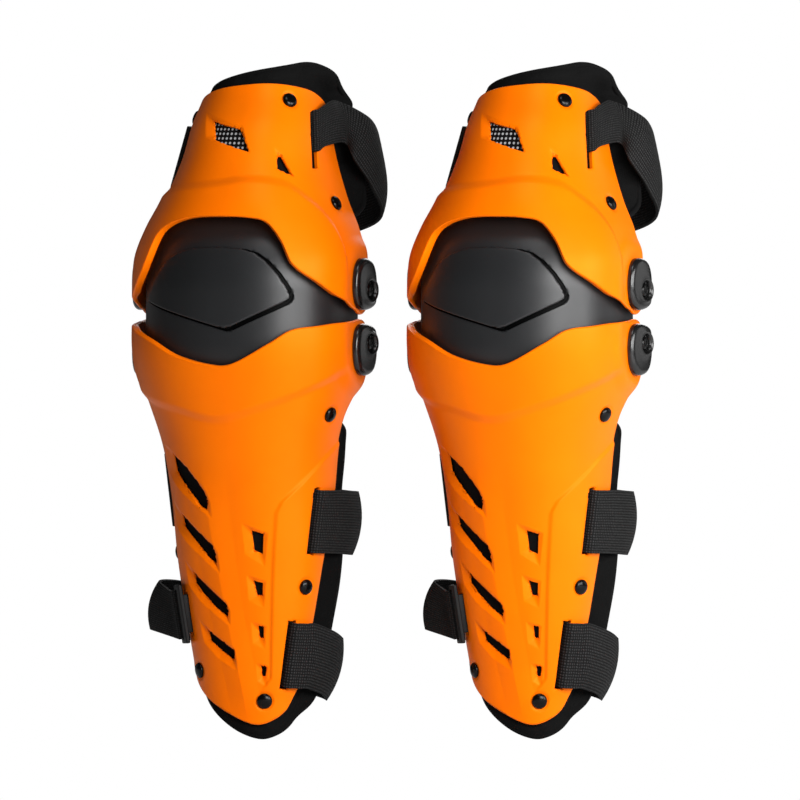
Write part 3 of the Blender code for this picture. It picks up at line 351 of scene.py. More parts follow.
def activate(piece):
    bpy.ops.object.select_all(action="DESELECT")
    piece.select_set(True)
    bpy.context.view_layer.objects.active = piece


def apply_modifier(piece, kind, **settings):
    """Add a modifier, set it and apply it."""
    activate(piece)
    modifier = piece.modifiers.new(kind.lower(), kind)
    for name, value in settings.items():
        setattr(modifier, name, value)
    bpy.ops.object.modifier_apply(modifier=modifier.name)


def smooth(piece, degrees=38):
    activate(piece)
    bpy.ops.object.shade_smooth_by_angle(angle=math.radians(degrees))


def press_plate(name, sheet, surface, base, across, upward, openings, dishes, rivets, lines=()):
    """A finished plate: the trimmed sheet on its mould, with its wall and rounded edges."""
    piece, u, v = flat_grid(name, across, upward)
    degrees, height = lay_out(u, v, *sheet)
    set_points(piece, np.stack([degrees * FLAT[0], height, 0 * u], 1))
    shape = bmesh.new()
    shape.from_mesh(piece.data)
    for line in lines:
        score(shape, line)
    for corners, dish in zip(openings, dishes):
        score(shape, corners)
        if dish is not None:
            score(shape, dish)
            for place in dish:
                away = np.linalg.norm((np.array(corners) - place) * FLAT, axis=1)
                score(shape, (place, corners[int(away.argmin())]))
    for corners in openings:
        trim(shape, corners)
    shape.to_mesh(piece.data)
    shape.free()
    degrees, height = (get_points(piece)[:, :2] / FLAT).T
    at_opening = np.zeros(len(degrees), bool)
    sunk = np.zeros(len(degrees))
    for corners, dish in zip(openings, dishes):
        scale = np.array([per_degree(base, *np.mean(corners, 0)), 1.0])
        flat = np.stack([degrees, height], 1) * scale
        away = np.maximum(from_outline(flat, np.array(corners) * scale), 0)
        at_opening |= away < 2e-5
        if dish is None:
            sunk = np.maximum(sunk, VENT_ROUND * (1 - ease(0.0, 0.001, away)))
        else:
            depth = np.maximum(-from_outline(flat, np.array(dish) * scale), 0)
            width = depth + away + 1e-6
            sunk = np.maximum(sunk, np.minimum(DISH_DEPTH, DISH_SLOPE * width) * depth / width)
    normal = outward(base, degrees, height)
    points = surface(degrees, height)
    sunk = sunk + dimples(surface, rivets, points)
    set_points(piece, points - normal * sunk[:, None])
    apply_modifier(piece, "SOLIDIFY", thickness=WALL, offset=-1.0)
    points = get_points(piece)
    points[len(degrees):] = base(degrees, height) - normal * WALL
    set_points(piece, points)
    round_edges(piece, len(degrees), at_opening)
    smooth(piece)
    return piece


def round_edges(piece, count, at_opening):
    """Bevel the rim's edges; the first count points are the outside."""
    shape = bmesh.new()
    shape.from_mesh(piece.data)
    weight = shape.edges.layers.float.new("bevel_weight_edge")
    for edge in shape.edges:
        front = [v.index < count for v in edge.verts]
        walls = [len({v.index < count for v in f.verts}) for f in edge.link_faces]
        if front[0] == front[1] and 2 in walls and 1 in walls:
            edge[weight] = 0.0 if all(at_opening[v.index % count] for v in edge.verts) else 1.0
    bmesh.ops.recalc_face_normals(shape, faces=shape.faces)
    shape.to_mesh(piece.data)
    shape.free()
    apply_modifier(piece, "BEVEL", width=RIM_ROUND, segments=3, limit_method="WEIGHT",
                   use_clamp_overlap=False)


print("plate tools ready")

# %% [markdown]
# ## Hinges
# Both plates end in round ears over the hinge lines, and the cup's sides reach under them. The pins go
# through all of them, so their holes are shared by the thigh plate, the shin plate and the cup.

# %% Ears and pin holes
EAR_RADIUS = 0.0175
EAR_ANGLE = 101.0
PIN_RADIUS = 0.0035
HOLE_RADIUS = PIN_RADIUS + 0.0003
CUP_GAP = 0.0035
CUP_HALF_WIDTH = HALF_WIDTH - WALL - CUP_GAP
CUP_RADIUS = 0.073


def eared(points, hinge, turn):
    """A rim that rounds off about the hinge at both ears."""
    limit = points[-1][0]

    def height(degrees):
        depth = HALF_WIDTH * np.tan(np.radians(np.maximum(np.abs(degrees), 90) - 90))
        arc = hinge + turn * np.sqrt(np.maximum(EAR_RADIUS ** 2 - depth ** 2, 0))
        share = ease(limit, 90.0, np.abs(degrees))
        return curve(points, degrees) * (1 - share) + arc * share

    return height


def pin_holes(hinge, half_width):
    """Outlines of the two pin holes at one hinge line."""
    turn = np.linspace(0, 2 * np.pi, 24, endpoint=False)
    reach = np.degrees(HOLE_RADIUS / half_width)
    height = hinge + HOLE_RADIUS * np.sin(turn)
    return [np.stack([side * 90 + reach * np.cos(turn), height], 1) for side in (-1, 1)]


print("pin holes are", round(2000 * HOLE_RADIUS, 2), "mm across")

# %% [markdown]
# ## Strap slots
# Each strap leaves its plate through an upright slot on the right side and comes back to a hook on the
# left. The slots are stated by their low and high ends. The loop behind the leg is stated by its middle
# line and its lean: how much further right the high edge is than the low one. The thigh's band leaves its
# slot narrower than the slot is. The slack says how far a band stands off the plate, and how much higher it
# is, at two places before the plate's side edge.

# %% Places of the straps
STRAPS = {
    "thigh": {
        "right": ((54.5, 0.1075), (60.5, 0.1455)),
        "left": ((-78.0, 0.094), (-74.0, 0.132)),
        "band": ((55.9, 0.1180), (60.5, 0.1470)),
        "slack": ((0.0050, 0.0050), (0.0075, 0.0040)),
        "loop": (
            (0.0715, 0.034, 0.1270, 0.0), (0.0745, 0.056, 0.1080, 0.0), (0.067, 0.084, 0.090, 0.0),
            (0.039, 0.107, 0.080, 0.0), (0.0, 0.114, 0.074, 0.0), (-0.039, 0.107, 0.076, 0.0),
            (-0.065, 0.086, 0.084, 0.0), (-0.073, 0.058, 0.096, 0.0), (-0.068, 0.036, 0.107, 0.0),
        ),
    },
    "calf": {
        "right": ((60.0, -0.1685), (61.4, -0.1235)),
        "left": ((-90.0, -0.1455), (-90.0, -0.1005)),
        "slack": ((0.0012, 0.0), (0.0022, 0.0)),
        "loop": (
            (0.0665, 0.020, -0.147, 0.003), (0.0622, 0.046, -0.1475, 0.0046), (0.0467, 0.072, -0.147, 0.0046),
            (0.024, 0.086, -0.145, 0.004), (0.0, 0.090, -0.142, 0.003), (-0.027, 0.087, -0.138, 0.002),
            (-0.050, 0.075, -0.133, 0.001), (-0.064, 0.053, -0.128, 0.0), (-0.0670, 0.037, -0.125, 0.0),
        ),
    },
    "ankle": {
        "right": ((44.5, -0.2645), (49.0, -0.2185)),
        "left": ((-58.0, -0.2290), (-58.0, -0.1945)),
        "slack": ((0.0020, 0.0), (0.0035, 0.0)),
        "loop": (
            (0.0540, 0.012, -0.2475, 0.007), (0.0500, 0.036, -0.2520, 0.012), (0.0385, 0.060, -0.2510, 0.012),
            (0.019, 0.072, -0.246, 0.012), (0.0, 0.076, -0.238, 0.011), (-0.029, 0.074, -0.226, 0.011),
            (-0.058, 0.062, -0.2135, 0.010), (-0.077, 0.038, -0.206, 0.009), (-0.0815, 0.012, -0.2055, 0.006),
        ),
    },
}
SLOT_HALF_WIDTH = 0.0032
SLOT_SPACE = 0.0012
TONGUE_BACK, TONGUE_FRONT = 0.0046, 0.0079
TONGUE_SHARE = 0.8  # of the strap's width


def slot_outline(surface, ends):
    """Corners of the slot that a strap leaves its plate through."""
    corners = []
    for (degrees, height), turn in zip(ends, (-1, 1)):
        place = height + turn * SLOT_SPACE
        half = -turn * SLOT_HALF_WIDTH / per_degree(surface, degrees, place)
        corners += [(degrees - half, place), (degrees + half, place)]
    return corners


def surface_frame(surface, degrees, height):
    """A frame on a surface: X towards the front, Y up along it, Z outward."""
    normal = Vector(outward(surface, degrees, height))
    forward = Vector((-normal.y, normal.x, 0)).normalized() * (-1 if degrees > 0 else 1)
    placed = Matrix((forward, normal.cross(forward).normalized(), normal)).transposed().to_4x4()
    placed.translation = Vector(surface(degrees, height))
    return placed


def hook_frame(surface, name):
    low, high = STRAPS[name]["left"]
    return surface_frame(surface, (low[0] + high[0]) / 2, (low[1] + high[1]) / 2)


def tongue_outline(surface, sections, name):
    """Corners of the slot that a hook's tongue goes into."""
    low, high = STRAPS[name]["left"]
    half = TONGUE_SHARE / 2 * (high[1] - low[1]) + SLOT_SPACE
    corners = []
    for x, y in ((TONGUE_BACK, -half), (TONGUE_FRONT, -half), (TONGUE_FRONT, half), (TONGUE_BACK, half)):
        point = hook_frame(surface, name) @ Vector((x, y, 0))
        back = curve([(s[0], s[3]) for s in sections], point.z)
        corners.append((math.degrees(math.atan2(point.x, back - point.y)), point.z))
    return corners


print("strap slots:", ", ".join(STRAPS))

# %% [markdown]
# ## Thigh plate
# The rim arches over the knee cup and runs down into the ears. Two vents show: a wide one with a sloping
# left cheek, and a small one like a drop.

# %% Thigh plate
THIGH_RIM = (
    (-79, 0.006), (-62, 0.017), (-51, 0.027), (-43, 0.040), (-36, 0.058), (-28, 0.066), (-15, 0.071),
    (0, 0.072), (15, 0.071), (23, 0.0675), (31, 0.054), (37.5, 0.038), (52, 0.024), (63, 0.015), (79, 0.006),
)
THIGH_TOP = (
    (-101, 0.126), (-90, 0.137), (-60, 0.152), (-22, 0.163), (4, 0.1665), (22, 0.167), (44, 0.1645),
    (67, 0.160), (88, 0.152), (101, 0.140),
)
THIGH_SIDE = ((0.019, EAR_ANGLE), (0.040, 98), (0.060, 93), (0.160, 91))
THIGH_VENTS = (
    ((-17.2, 0.1405), (2.9, 0.1348), (6.3, 0.1291), (10.3, 0.1177), (-12.2, 0.1269)),
    ((27.3, 0.1148), (29.2, 0.1148), (36.0, 0.1012), (26.7, 0.1062)),
)
THIGH_DISHES = (
    ((-26.3, 0.1462), (5.2, 0.1362), (11.5, 0.1166), (-10.5, 0.1248), (-18.7, 0.1277)),
    ((24.8, 0.1216), (29.8, 0.1155), (37.0, 0.0996), (25.5, 0.1050)),
)
thigh_sheet = (eared(THIGH_RIM, UPPER_HINGE, -1), rim(THIGH_TOP), THIGH_SIDE, THIGH_SIDE)
thigh_openings = [*THIGH_VENTS, slot_outline(thigh_surface, STRAPS["thigh"]["right"]),
                  tongue_outline(thigh_surface, THIGH_SECTIONS, "thigh"), *pin_holes(UPPER_HINGE, HALF_WIDTH)]
thigh_shell = press_plate("thigh_shell", thigh_sheet, thigh_surface, thigh_base, 190, 125, thigh_openings,
                          [*THIGH_DISHES, None, None, None, None], THIGH_RIVETS)
print("thigh plate:", len(thigh_shell.data.polygons), "faces")

# %% [markdown]
# ## Shin plate
# The long plate has four slanted vents on its left flank, each with a sloping lower lip, and four small
# windows down the right of its keel. Its left edge reaches further back than the right one, to carry the
# calf hook.

# %% Shin plate
SHIN_TOP = (
    (-79, -0.003), (-67, -0.006), (-40, -0.016), (-21, -0.028), (0, -0.035), (9, -0.033), (27, -0.019),
    (38, -0.0095), (52, -0.0065), (67, -0.004), (79, -0.003),
)
SHIN_RIM = (
    (-66, -0.255), (-55, -0.262), (-40, -0.271), (-25, -0.278), (-11, -0.2836), (5, -0.289), (20, -0.2915),
    (35, -0.2885), (50, -0.2807), (58, -0.270), (66, -0.259),
)
SHIN_SIDE = (
    (-0.270, 62), (-0.259, 64), (-0.218, 72), (-0.173, 76), (-0.127, 84), (-0.090, 80), (-0.070, 79),
    (-0.055, 84), (-0.045, 90), (-0.030, 99), (-0.019, EAR_ANGLE),
)
SHIN_HOOK_SIDE = (
    (-0.270, 62), (-0.259, 64), (-0.218, 74), (-0.185, 84), (-0.160, 92), (-0.127, 93), (-0.090, 93),
    (-0.070, 90), (-0.045, 92), (-0.030, 99), (-0.019, EAR_ANGLE),
)
SHIN_VENTS = (
    ((-42.0, -0.0950), (-28.6, -0.1080), (-16.8, -0.1250), (-15.6, -0.1315), (-16.9, -0.1387),
     (-22.6, -0.1355), (-33.7, -0.1225), (-42.8, -0.1112)),
    ((-45.2, -0.1387), (-37.3, -0.1447), (-16.0, -0.1631), (-13.9, -0.1688), (-14.1, -0.1777),
     (-22.3, -0.1712), (-32.7, -0.1606), (-43.9, -0.1501)),
    ((-38.9, -0.1809), (-32.0, -0.1866), (-7.3, -0.2045), (-5.6, -0.2101), (-7.3, -0.2147), (-19.5, -0.2069),
     (-32.7, -0.1963), (-38.5, -0.1907)),
    ((-29.2, -0.2223), (-22.7, -0.2264), (-2.0, -0.2378), (-1.4, -0.2443), (-4.2, -0.2450), (-14.8, -0.2393),
     (-27.6, -0.2313)),
    ((15.3, -0.1529), (24.2, -0.1554), (24.1, -0.1697), (17.3, -0.1672)),
    ((16.8, -0.1885), (24.5, -0.1901), (24.3, -0.1993), (19.8, -0.1986)),
    ((20.6, -0.2208), (25.5, -0.2215), (25.5, -0.2297), (21.9, -0.2290)),
    ((23.2, -0.2493), (27.8, -0.2500), (27.8, -0.2568), (24.4, -0.2565)),
)
SHIN_DISHES = (
    ((-50.2, -0.0905), (-42.5, -0.0935), (-28.0, -0.1066), (-15.8, -0.1240), (-13.6, -0.1315),
     (-13.8, -0.1440), (-39.8, -0.1235), (-54.0, -0.1094)),
    ((-53.0, -0.1300), (-45.5, -0.1370), (-36.8, -0.1433), (-15.0, -0.1620), (-11.6, -0.1688),
     (-10.6, -0.1840), (-40.5, -0.1610), (-54.7, -0.1477)),
    ((-46.5, -0.1727), (-39.2, -0.1793), (-31.5, -0.1853), (-6.2, -0.2035), (-3.6, -0.2100), (-3.8, -0.2210),
     (-31.6, -0.2040), (-44.9, -0.1912)),
    ((-36.4, -0.2160), (-29.0, -0.2208), (-22.2, -0.2252), (-1.0, -0.2368), (0.6, -0.2440), (1.0, -0.2530),
     (-18.8, -0.2440), (-33.2, -0.2324)),
    ((8.2, -0.1470), (27.8, -0.1545), (25.8, -0.1785), (10.3, -0.1696)),
    ((11.2, -0.1841), (27.2, -0.1885), (25.6, -0.2082), (12.9, -0.2032)),
    ((14.5, -0.2176), (27.9, -0.2206), (26.4, -0.2373), (15.7, -0.2334)),
    ((18.2, -0.2474), (29.6, -0.2494), (28.6, -0.2642), (19.5, -0.2605)),
)
shin_sheet = (rim(SHIN_RIM), eared(SHIN_TOP, LOWER_HINGE, 1), SHIN_HOOK_SIDE, SHIN_SIDE)
shin_openings = list(SHIN_VENTS)
for name in ("calf", "ankle"):
    shin_openings += [slot_outline(shin_surface, STRAPS[name]["right"]),
                      tongue_outline(shin_surface, SHIN_SECTIONS, name)]
shin_openings += pin_holes(LOWER_HINGE, HALF_WIDTH)
shin_shell = press_plate("shin_shell", shin_sheet, shin_surface, shin_base, 164, 262, shin_openings,
                         [*SHIN_DISHES, *[None] * 6], SHIN_RIVETS)
print("shin plate:", len(shin_shell.data.polygons), "faces")

# %% [markdown]
# ## Knee cup
# The cup is turned about both hinge lines, so that the plates can swing over it, and straight between them.
# A panel stands proud of it. A groove goes round the panel's right side and fades out towards the top left;
# its share is kept on the points, so that the material can paint shade into it: the groove's plastic is the
# same as the cup's, only painted darker and duller.

# %% Knee cup
CUP_TOP = mirrored((
    (0, 0.086), (40, 0.082), (60, 0.075), (71, 0.067), (80, 0.052), (88, 0.040), (95, 0.036), (100, 0.030),
))
CUP_RIM = mirrored((
    (0, -0.0605), (30, -0.058), (53, -0.051), (68, -0.042), (80, -0.037), (88, -0.036), (95, -0.034),
    (100, -0.028),
))
CUP_SIDE = ((0.0, 100), (0.1, 100))
PANEL = np.array((
    (-52, 0.012), (-36, 0.040), (-30, 0.0445), (-20, 0.0484), (-2, 0.0495), (12, 0.0482), (20, 0.0455),
    (26, 0.0400), (32, 0.0310), (36.5, 0.0220), (39, 0.0150), (38.4, 0.0128), (36, 0.0108), (6.5, -0.0070),
    (3, -0.0080), (-1, -0.0070),
))
PANEL_GROOVES = np.array((
    0.0, 0.0, 0.0, 0.0, 0.0, 0.0012, 0.0022, 0.0028,
    0.0030, 0.0032, 0.0034, 0.0034, 0.0034, 0.0030, 0.0024, 0.0016,
))
PANEL_RAISE = 0.0016
GROOVE_DEPTH = 0.0012
GROOVE_WALL = 0.0004
EDGE_ROUND = 0.0006


def cup_base(degrees, height):
    """Points of the plain cup."""
    degrees, height = paired(degrees, height)
    over = np.maximum(np.abs(height) - UPPER_HINGE, 0)
    angle = np.radians(degrees)
    low, high = np.zeros(angle.shape), np.full(angle.shape, 2 * CUP_HALF_WIDTH)
    for _ in range(40):
        radius = (low + high) / 2
        across = np.abs(radius * np.sin(angle)) / CUP_HALF_WIDTH
        turned = np.hypot(radius * np.cos(angle), over) / CUP_RADIUS
        outside = across ** OVAL_POWER + turned ** OVAL_POWER > 1
        high = np.where(outside, radius, high)
        low = np.where(outside, low, radius)
    return np.stack([radius * np.sin(angle), -radius * np.cos(angle), height], -1)


def grow_outline(corners, widths):
    """Move each side of an outline that runs clockwise out by its own width."""
    along = np.roll(corners, -1, 0) - corners
    along /= np.linalg.norm(along, axis=1, keepdims=True)
    out = np.stack([-along[:, 1], along[:, 0]], 1)
    starts = corners + out * np.array(widths)[:, None]
    grown = []
    for k in range(len(corners)):
        gap = starts[k] - starts[k - 1]
        cross = along[k - 1, 0] * along[k, 1] - along[k - 1, 1] * along[k, 0]
        run = (gap[0] * along[k, 1] - gap[1] * along[k, 0]) / cross
        grown.append(starts[k - 1] + along[k - 1] * run)
    return np.array(grown)


CUP_SCALE = np.array([math.radians(CUP_RADIUS), 1.0])


def panel_outline(widths):
    """The panel's outline with each side moved out by its width in metres."""
    return grow_outline(PANEL * CUP_SCALE, np.broadcast_to(widths, len(PANEL))) / CUP_SCALE


GROOVE = panel_outline(np.maximum(PANEL_GROOVES, GROOVE_WALL))


def panel_depths(degrees, height):
    """How far places lie outside the panel and inside its groove's outer edge, in metres."""
    place = np.stack([degrees, height], -1).reshape(-1, 2) * CUP_SCALE
    return from_outline(place, PANEL * CUP_SCALE), -from_outline(place, GROOVE * CUP_SCALE)


def cup_surface(degrees, height):
    degrees, height = paired(degrees, height)
    past, groove = (depth.reshape(degrees.shape) for depth in panel_depths(degrees, height))
    wall = np.interp(past, (-EDGE_ROUND, 0, GROOVE_WALL), (1.0, 0.86, 0.0))
    lift = PANEL_RAISE * wall - GROOVE_DEPTH * np.clip(groove / GROOVE_WALL, 0, 1) * (1 - wall)
    return cup_base(degrees, height) + outward(cup_base, degrees, height) * lift[..., None]


cup_sheet = (rim(CUP_RIM), rim(CUP_TOP), CUP_SIDE, CUP_SIDE)
cup_openings = pin_holes(UPPER_HINGE, CUP_HALF_WIDTH) + pin_holes(LOWER_HINGE, CUP_HALF_WIDTH)
knee_cup = press_plate("knee_cup", cup_sheet, cup_surface, cup_base, 240, 136, cup_openings, [None] * 4, {},
                       [panel_outline(-EDGE_ROUND), PANEL, panel_outline(GROOVE_WALL), GROOVE,
                        panel_outline(np.maximum(PANEL_GROOVES - GROOVE_WALL, GROOVE_WALL))])
cup_points = get_points(knee_cup)
cup_degrees = np.degrees(np.arctan2(cup_points[:, 0], -cup_points[:, 1]))
past, groove = panel_depths(cup_degrees, cup_points[:, 2])
# The groove's share of painted shade, which the material turns near black and dull.
dark = ease(-0.0002, GROOVE_WALL, groove) * ease(-0.0001, GROOVE_WALL, past)
mark(knee_cup, "groove", dark)
print("knee cup:", len(knee_cup.data.polygons), "faces")

# %% [markdown]
# ## Turned and capped hardware
# Rivets, pins and caps all grow ring by ring from a circle: extrude the ring of edges, then give the new
# ring its radius and height. For the caps the radius follows the shield's outline.

# %% Rings


def add_ring(radius, height):
    """Extrude the selected ring and set its radius, a number or a function of the turn, and its height."""
    bpy.ops.mesh.extrude_region_move()
    place_ring(radius, height)


def place_ring(radius, height):
    mesh = bpy.context.object.data
    shape = bmesh.from_edit_mesh(mesh)
    for vert in shape.verts:
        if vert.select:
            turn = math.atan2(vert.co.y, vert.co.x)
            reach = radius(turn) if callable(radius) else radius
            vert.co = (reach * math.cos(turn), reach * math.sin(turn), height)
    bmesh.update_edit_mesh(mesh)


def turned(name, rings, steps=48):
    """A closed body from rings, bottom to top, with both ends filled."""
    bpy.ops.mesh.primitive_circle_add(vertices=steps, radius=1)
    piece = bpy.context.object
    piece.name = piece.data.name = name
    bpy.ops.object.mode_set(mode="EDIT")
    bpy.ops.mesh.select_all(action="SELECT")
    place_ring(*rings[0])
    for ring in rings[1:]:
        add_ring(*ring)
    bpy.ops.mesh.edge_face_add()
    bpy.ops.mesh.select_all(action="DESELECT")
    bpy.ops.mesh.select_non_manifold()
    bpy.ops.mesh.edge_face_add()
    bpy.ops.mesh.select_all(action="SELECT")
    bpy.ops.mesh.normals_make_consistent(inside=False)
    bpy.ops.object.mode_set(mode="OBJECT")
    smooth(piece)
    return piece


rivet = turned("rivet", (
    (0.002, -0.0055), (0.002, -0.0002), (0.0052, -0.0002), (0.0055, 0.0002), (0.0055, 0.0009),
    (0.0052, 0.0015), (0.0044, 0.0022), (0.0032, 0.0027), (0.0016, 0.0030), (0.0003, 0.0031)))
print("rivet:", len(rivet.data.polygons), "faces")

# %% [markdown]
# The hinge pin is a shouldered rivet. From the inside out it has a foot inside the cup, a shoulder that
# keeps the plate off the cup, and a head in the cap's recess.

# %% Hinge pin
CAP_THICKNESS = 0.0085
WELL_DEPTH = 0.0035
CAP_FLOOR = CAP_THICKNESS - WELL_DEPTH
CUP_PLAY, PLATE_PLAY = 0.0004, 0.0003
cup_face = CUP_HALF_WIDTH - HALF_WIDTH
foot = cup_face - WALL - CUP_PLAY
head = CAP_FLOOR + 0.0006
pin = turned("hinge_pin", (
    (0.0066, foot - 0.0016), (0.0070, foot - 0.0012), (0.0070, foot), (PIN_RADIUS, foot),
    (PIN_RADIUS, cup_face + CUP_PLAY), (0.0080, cup_face + CUP_PLAY), (0.0080, -WALL - PLATE_PLAY),
    (PIN_RADIUS, -WALL - PLATE_PLAY), (PIN_RADIUS, head), (0.0049, head), (0.0050, head + 0.0003),
    (0.0046, head + 0.0012), (0.0036, head + 0.0019), (0.0018, head + 0.0022), (0.0003, head + 0.0022)))
print("hinge pin:", len(pin.data.polygons), "faces")

# %% [markdown]
# The cap is a thick glossy shield, thinner towards the front. Its face is domed, and a round well for the
# pin's head sinks into it behind a soft raised lip.

# %% Hinge caps
CAP_OUTLINE = np.array((
    (-0.0100, -0.0070), (-0.0060, -0.0125), (0.0060, -0.0140), (0.0155, -0.0095), (0.0195, 0.0020),
    (0.0170, 0.0150), (0.0095, 0.0220), (0.0000, 0.0225), (-0.0065, 0.0180), (-0.0105, 0.0060),
))
CAP_WELL = 0.0068
CAP_LIP = 0.0016
CAP_ROUND = 0.0042
CAP_DOME = 0.0050
CAP_TOE = math.radians(10)


def spline(points, steps):
    """Close steps along a smooth line through points; the first and last ones only steer it."""
    t = np.linspace(0, 1, steps, endpoint=False).reshape(-1, *[1] * (points.ndim - 1))
    line = []
    for before, start, end, after in zip(points, points[1:], points[2:], points[3:]):
        second = 2 * before - 5 * start + 4 * end - after
        third = 3 * start - before - 3 * end + after
        line.append(0.5 * (2 * start + (end - before) * t + second * t ** 2 + third * t ** 3))
    return np.concatenate(line)


def make_cap(name, hand):
    line = spline(np.concatenate((CAP_OUTLINE[-1:], CAP_OUTLINE, CAP_OUTLINE[:2])), 12) * (hand, 1)
    turns = np.arctan2(line[:, 1], line[:, 0])
    order = np.argsort(turns)
    reach = np.linalg.norm(line, axis=1)

    def edge(inset):
        return lambda turn: np.interp(turn, turns[order], reach[order], period=2 * math.pi) - inset

    def face(share):
        return lambda turn: edge(CAP_ROUND)(turn) * (1 - share) + (CAP_WELL + CAP_LIP) * share

    rise = CAP_THICKNESS - CAP_DOME
    rings = [(HOLE_RADIUS, 0.0), (edge(0.0006), 0.0), (edge(0.0), 0.0006), (edge(0.0), rise)]
    for k in range(1, 7):
        bend = math.radians(15 * k)
        rings.append((edge(CAP_ROUND * (1 - math.cos(bend))), rise + CAP_ROUND * math.sin(bend)))
    rings += [(face(0.5), CAP_THICKNESS - 0.0004), (face(1.0), CAP_THICKNESS),
              (CAP_WELL + 0.0007, CAP_THICKNESS - 0.0002), (CAP_WELL + 0.0001, CAP_THICKNESS - 0.0009),
              (CAP_WELL, CAP_FLOOR + 0.0004), (CAP_WELL - 0.0004, CAP_FLOOR), (HOLE_RADIUS, CAP_FLOOR)]
    piece = turned(name, rings, 72)
    points = get_points(piece)
    outer = np.linalg.norm(points[:, :2], axis=1) > CAP_WELL + 0.00005
    points[:, 2] *= np.where(outer, 1 - math.tan(CAP_TOE) * hand * points[:, 0] / CAP_THICKNESS, 1)
    set_points(piece, points)
    return piece


caps = {hand: make_cap("hinge_cap", hand) for hand in (-1, 1)}
print("cap:", len(caps[1].data.polygons), "faces")

# %% [markdown]
# ## Straps
# A strap is a flat woven band. Its two edges are followed from the tail behind the right slot, over the
# slot's edge, round behind the leg and into the hook. Where it is free its edges curl in a little. A flat
# grid laid between the two edges keeps its own measure along and across the band, which the weave needs
# later.

# %% Bands
STRAP_THICKNESS = 0.002
STRAP_CROWN = 0.0042
STRAP_LIFT = 0.0017
STRAP_ROUND = 0.0006
HOOK_LIFT = 0.0022
HOOK_HALF = 0.009
HOOK_THICKNESS = 0.003
HOOK_BAR = 0.003
HOOK_WINDOW = 0.006


def set_measure(piece, along, across):
    """Write a sheet's own measure, in metres, as its UV map."""
    layer = piece.data.uv_layers[0] if piece.data.uv_layers else piece.data.uv_layers.new()
    corners = np.empty(len(piece.data.loops), int)
    piece.data.loops.foreach_get("vertex_index", corners)
    layer.data.foreach_set("uv", np.stack([along[corners], across[corners]], 1).ravel())


def strap_edges(surface, side, name):
    """Low and high edge points of a strap, from its tail to its hook."""
    strap = STRAPS[name]
    half = STRAP_THICKNESS / 2
    rest = half + STRAP_LIFT
    slot, left = np.array(strap["right"]), np.array(strap["left"])
    right = np.array(strap.get("band", slot))
    edge = curve(side, right[:, 1].mean())
    near, far = strap["slack"]
    rows = []
    for turn, lift, rise, share in (
        (0, -WALL - 0.0025, 0, 0), (0, -WALL / 2, 0, 0), (0.0004, half, 0, 0), (0.0024, half + 0.0022, 0, 0),
        (0.0072, rest + near[0] / 2, near[1] / 2, 0), (0, rest + near[0], near[1], 0.6),
        (0, rest + far[0], far[1], 1),
    ):
        degrees = right[:, 0] + turn / per_degree(surface, *right.T) + share * (edge - right[:, 0])
        height = right[:, 1] + rise
        rows.append(surface(degrees, height) + outward(surface, degrees, height) * lift)
    loop = [Vector(place[:3]) for place in strap["loop"]]
    last = len(loop) - 1
    for k, middle in enumerate(loop):
        ahead = (loop[min(k + 1, last)] - loop[max(k - 1, 0)]).normalized()
        upward = (Vector((0, 0, 1)) - ahead * ahead.z).normalized()
        width = (slot[1, 1] - slot[0, 1]) * (1 - k / last) + (left[1, 1] - left[0, 1]) * k / last
        to_edge = upward * (width / 2) + Vector((strap["loop"][k][3] / 2, 0, 0))
        rows.append(np.array([middle - to_edge, middle + to_edge]))
    over = HOOK_LIFT + HOOK_THICKNESS + half
    tall = (left[1, 1] - left[0, 1]) / 2
    placed = hook_frame(surface, name)
    for along, lift in ((-HOOK_HALF - 0.007, over), (-HOOK_HALF + HOOK_BAR / 2, over + 0.0008),
                        (-HOOK_HALF + HOOK_BAR + 0.3 * HOOK_WINDOW, over - 0.00015),
                        (-HOOK_HALF + HOOK_BAR + 0.5 * HOOK_WINDOW, HOOK_LIFT + half)):
        rows.append(np.array([placed @ Vector((along, s * tall, lift)) for s in (-1, 1)]))
    return np.array(rows)


def make_strap(name, surface, side):
    edges = strap_edges(surface, side, name)
    line = np.concatenate((spline(np.concatenate((edges[:1], edges, edges[-1:])), 14), edges[-1:]))
    middle = line.mean(1)
    length = np.concatenate(([0], np.cumsum(np.linalg.norm(np.diff(middle, axis=0), axis=1))))
    width = np.linalg.norm(line[:, 1] - line[:, 0], axis=1).mean()
    piece, u, v = flat_grid(name + "_strap", len(line) - 1, 12)
    station = np.rint((u + 1) / 2 * (len(line) - 1)).astype(int)
    out = np.cross(np.gradient(middle, axis=0), line[:, 1] - line[:, 0])
    out /= np.linalg.norm(out, axis=1, keepdims=True)
    free = ease(0.012, 0.034, length) * ease(0.012, 0.050, length[-1] - length)
    crown = STRAP_CROWN * free[station] * (0.4 - (2 * v - 1) ** 2)
    set_points(piece, line[station, 0] * (1 - v)[:, None] + line[station, 1] * v[:, None]
               + out[station] * crown[:, None])
    set_measure(piece, length[station], v * width)
    apply_modifier(piece, "SOLIDIFY", thickness=STRAP_THICKNESS, offset=0.0)
    apply_modifier(piece, "BEVEL", width=STRAP_ROUND, segments=2, limit_method="ANGLE",
                   angle_limit=math.radians(60))
    smooth(piece, 50)
    piece["flat"] = (width, length[-1])
    return piece


CARRIERS = {
    "thigh": (thigh_surface, THIGH_SIDE), "calf": (shin_surface, SHIN_SIDE),
    "ankle": (shin_surface, SHIN_SIDE),
}
straps = {name: make_strap(name, *carrier) for name, carrier in CARRIERS.items()}
print("straps:", {name: [round(x, 3) for x in piece["flat"]] for name, piece in straps.items()})

# %% [markdown]
# ## Strap hooks
# Each hook is a moulded frame: the strap goes round its rear bar, and a tongue under the front bar drops
# into the plate's slot. A small grid gives the frame, its middle cell is deleted for the window, and
# Solidify and Bevel give it body.

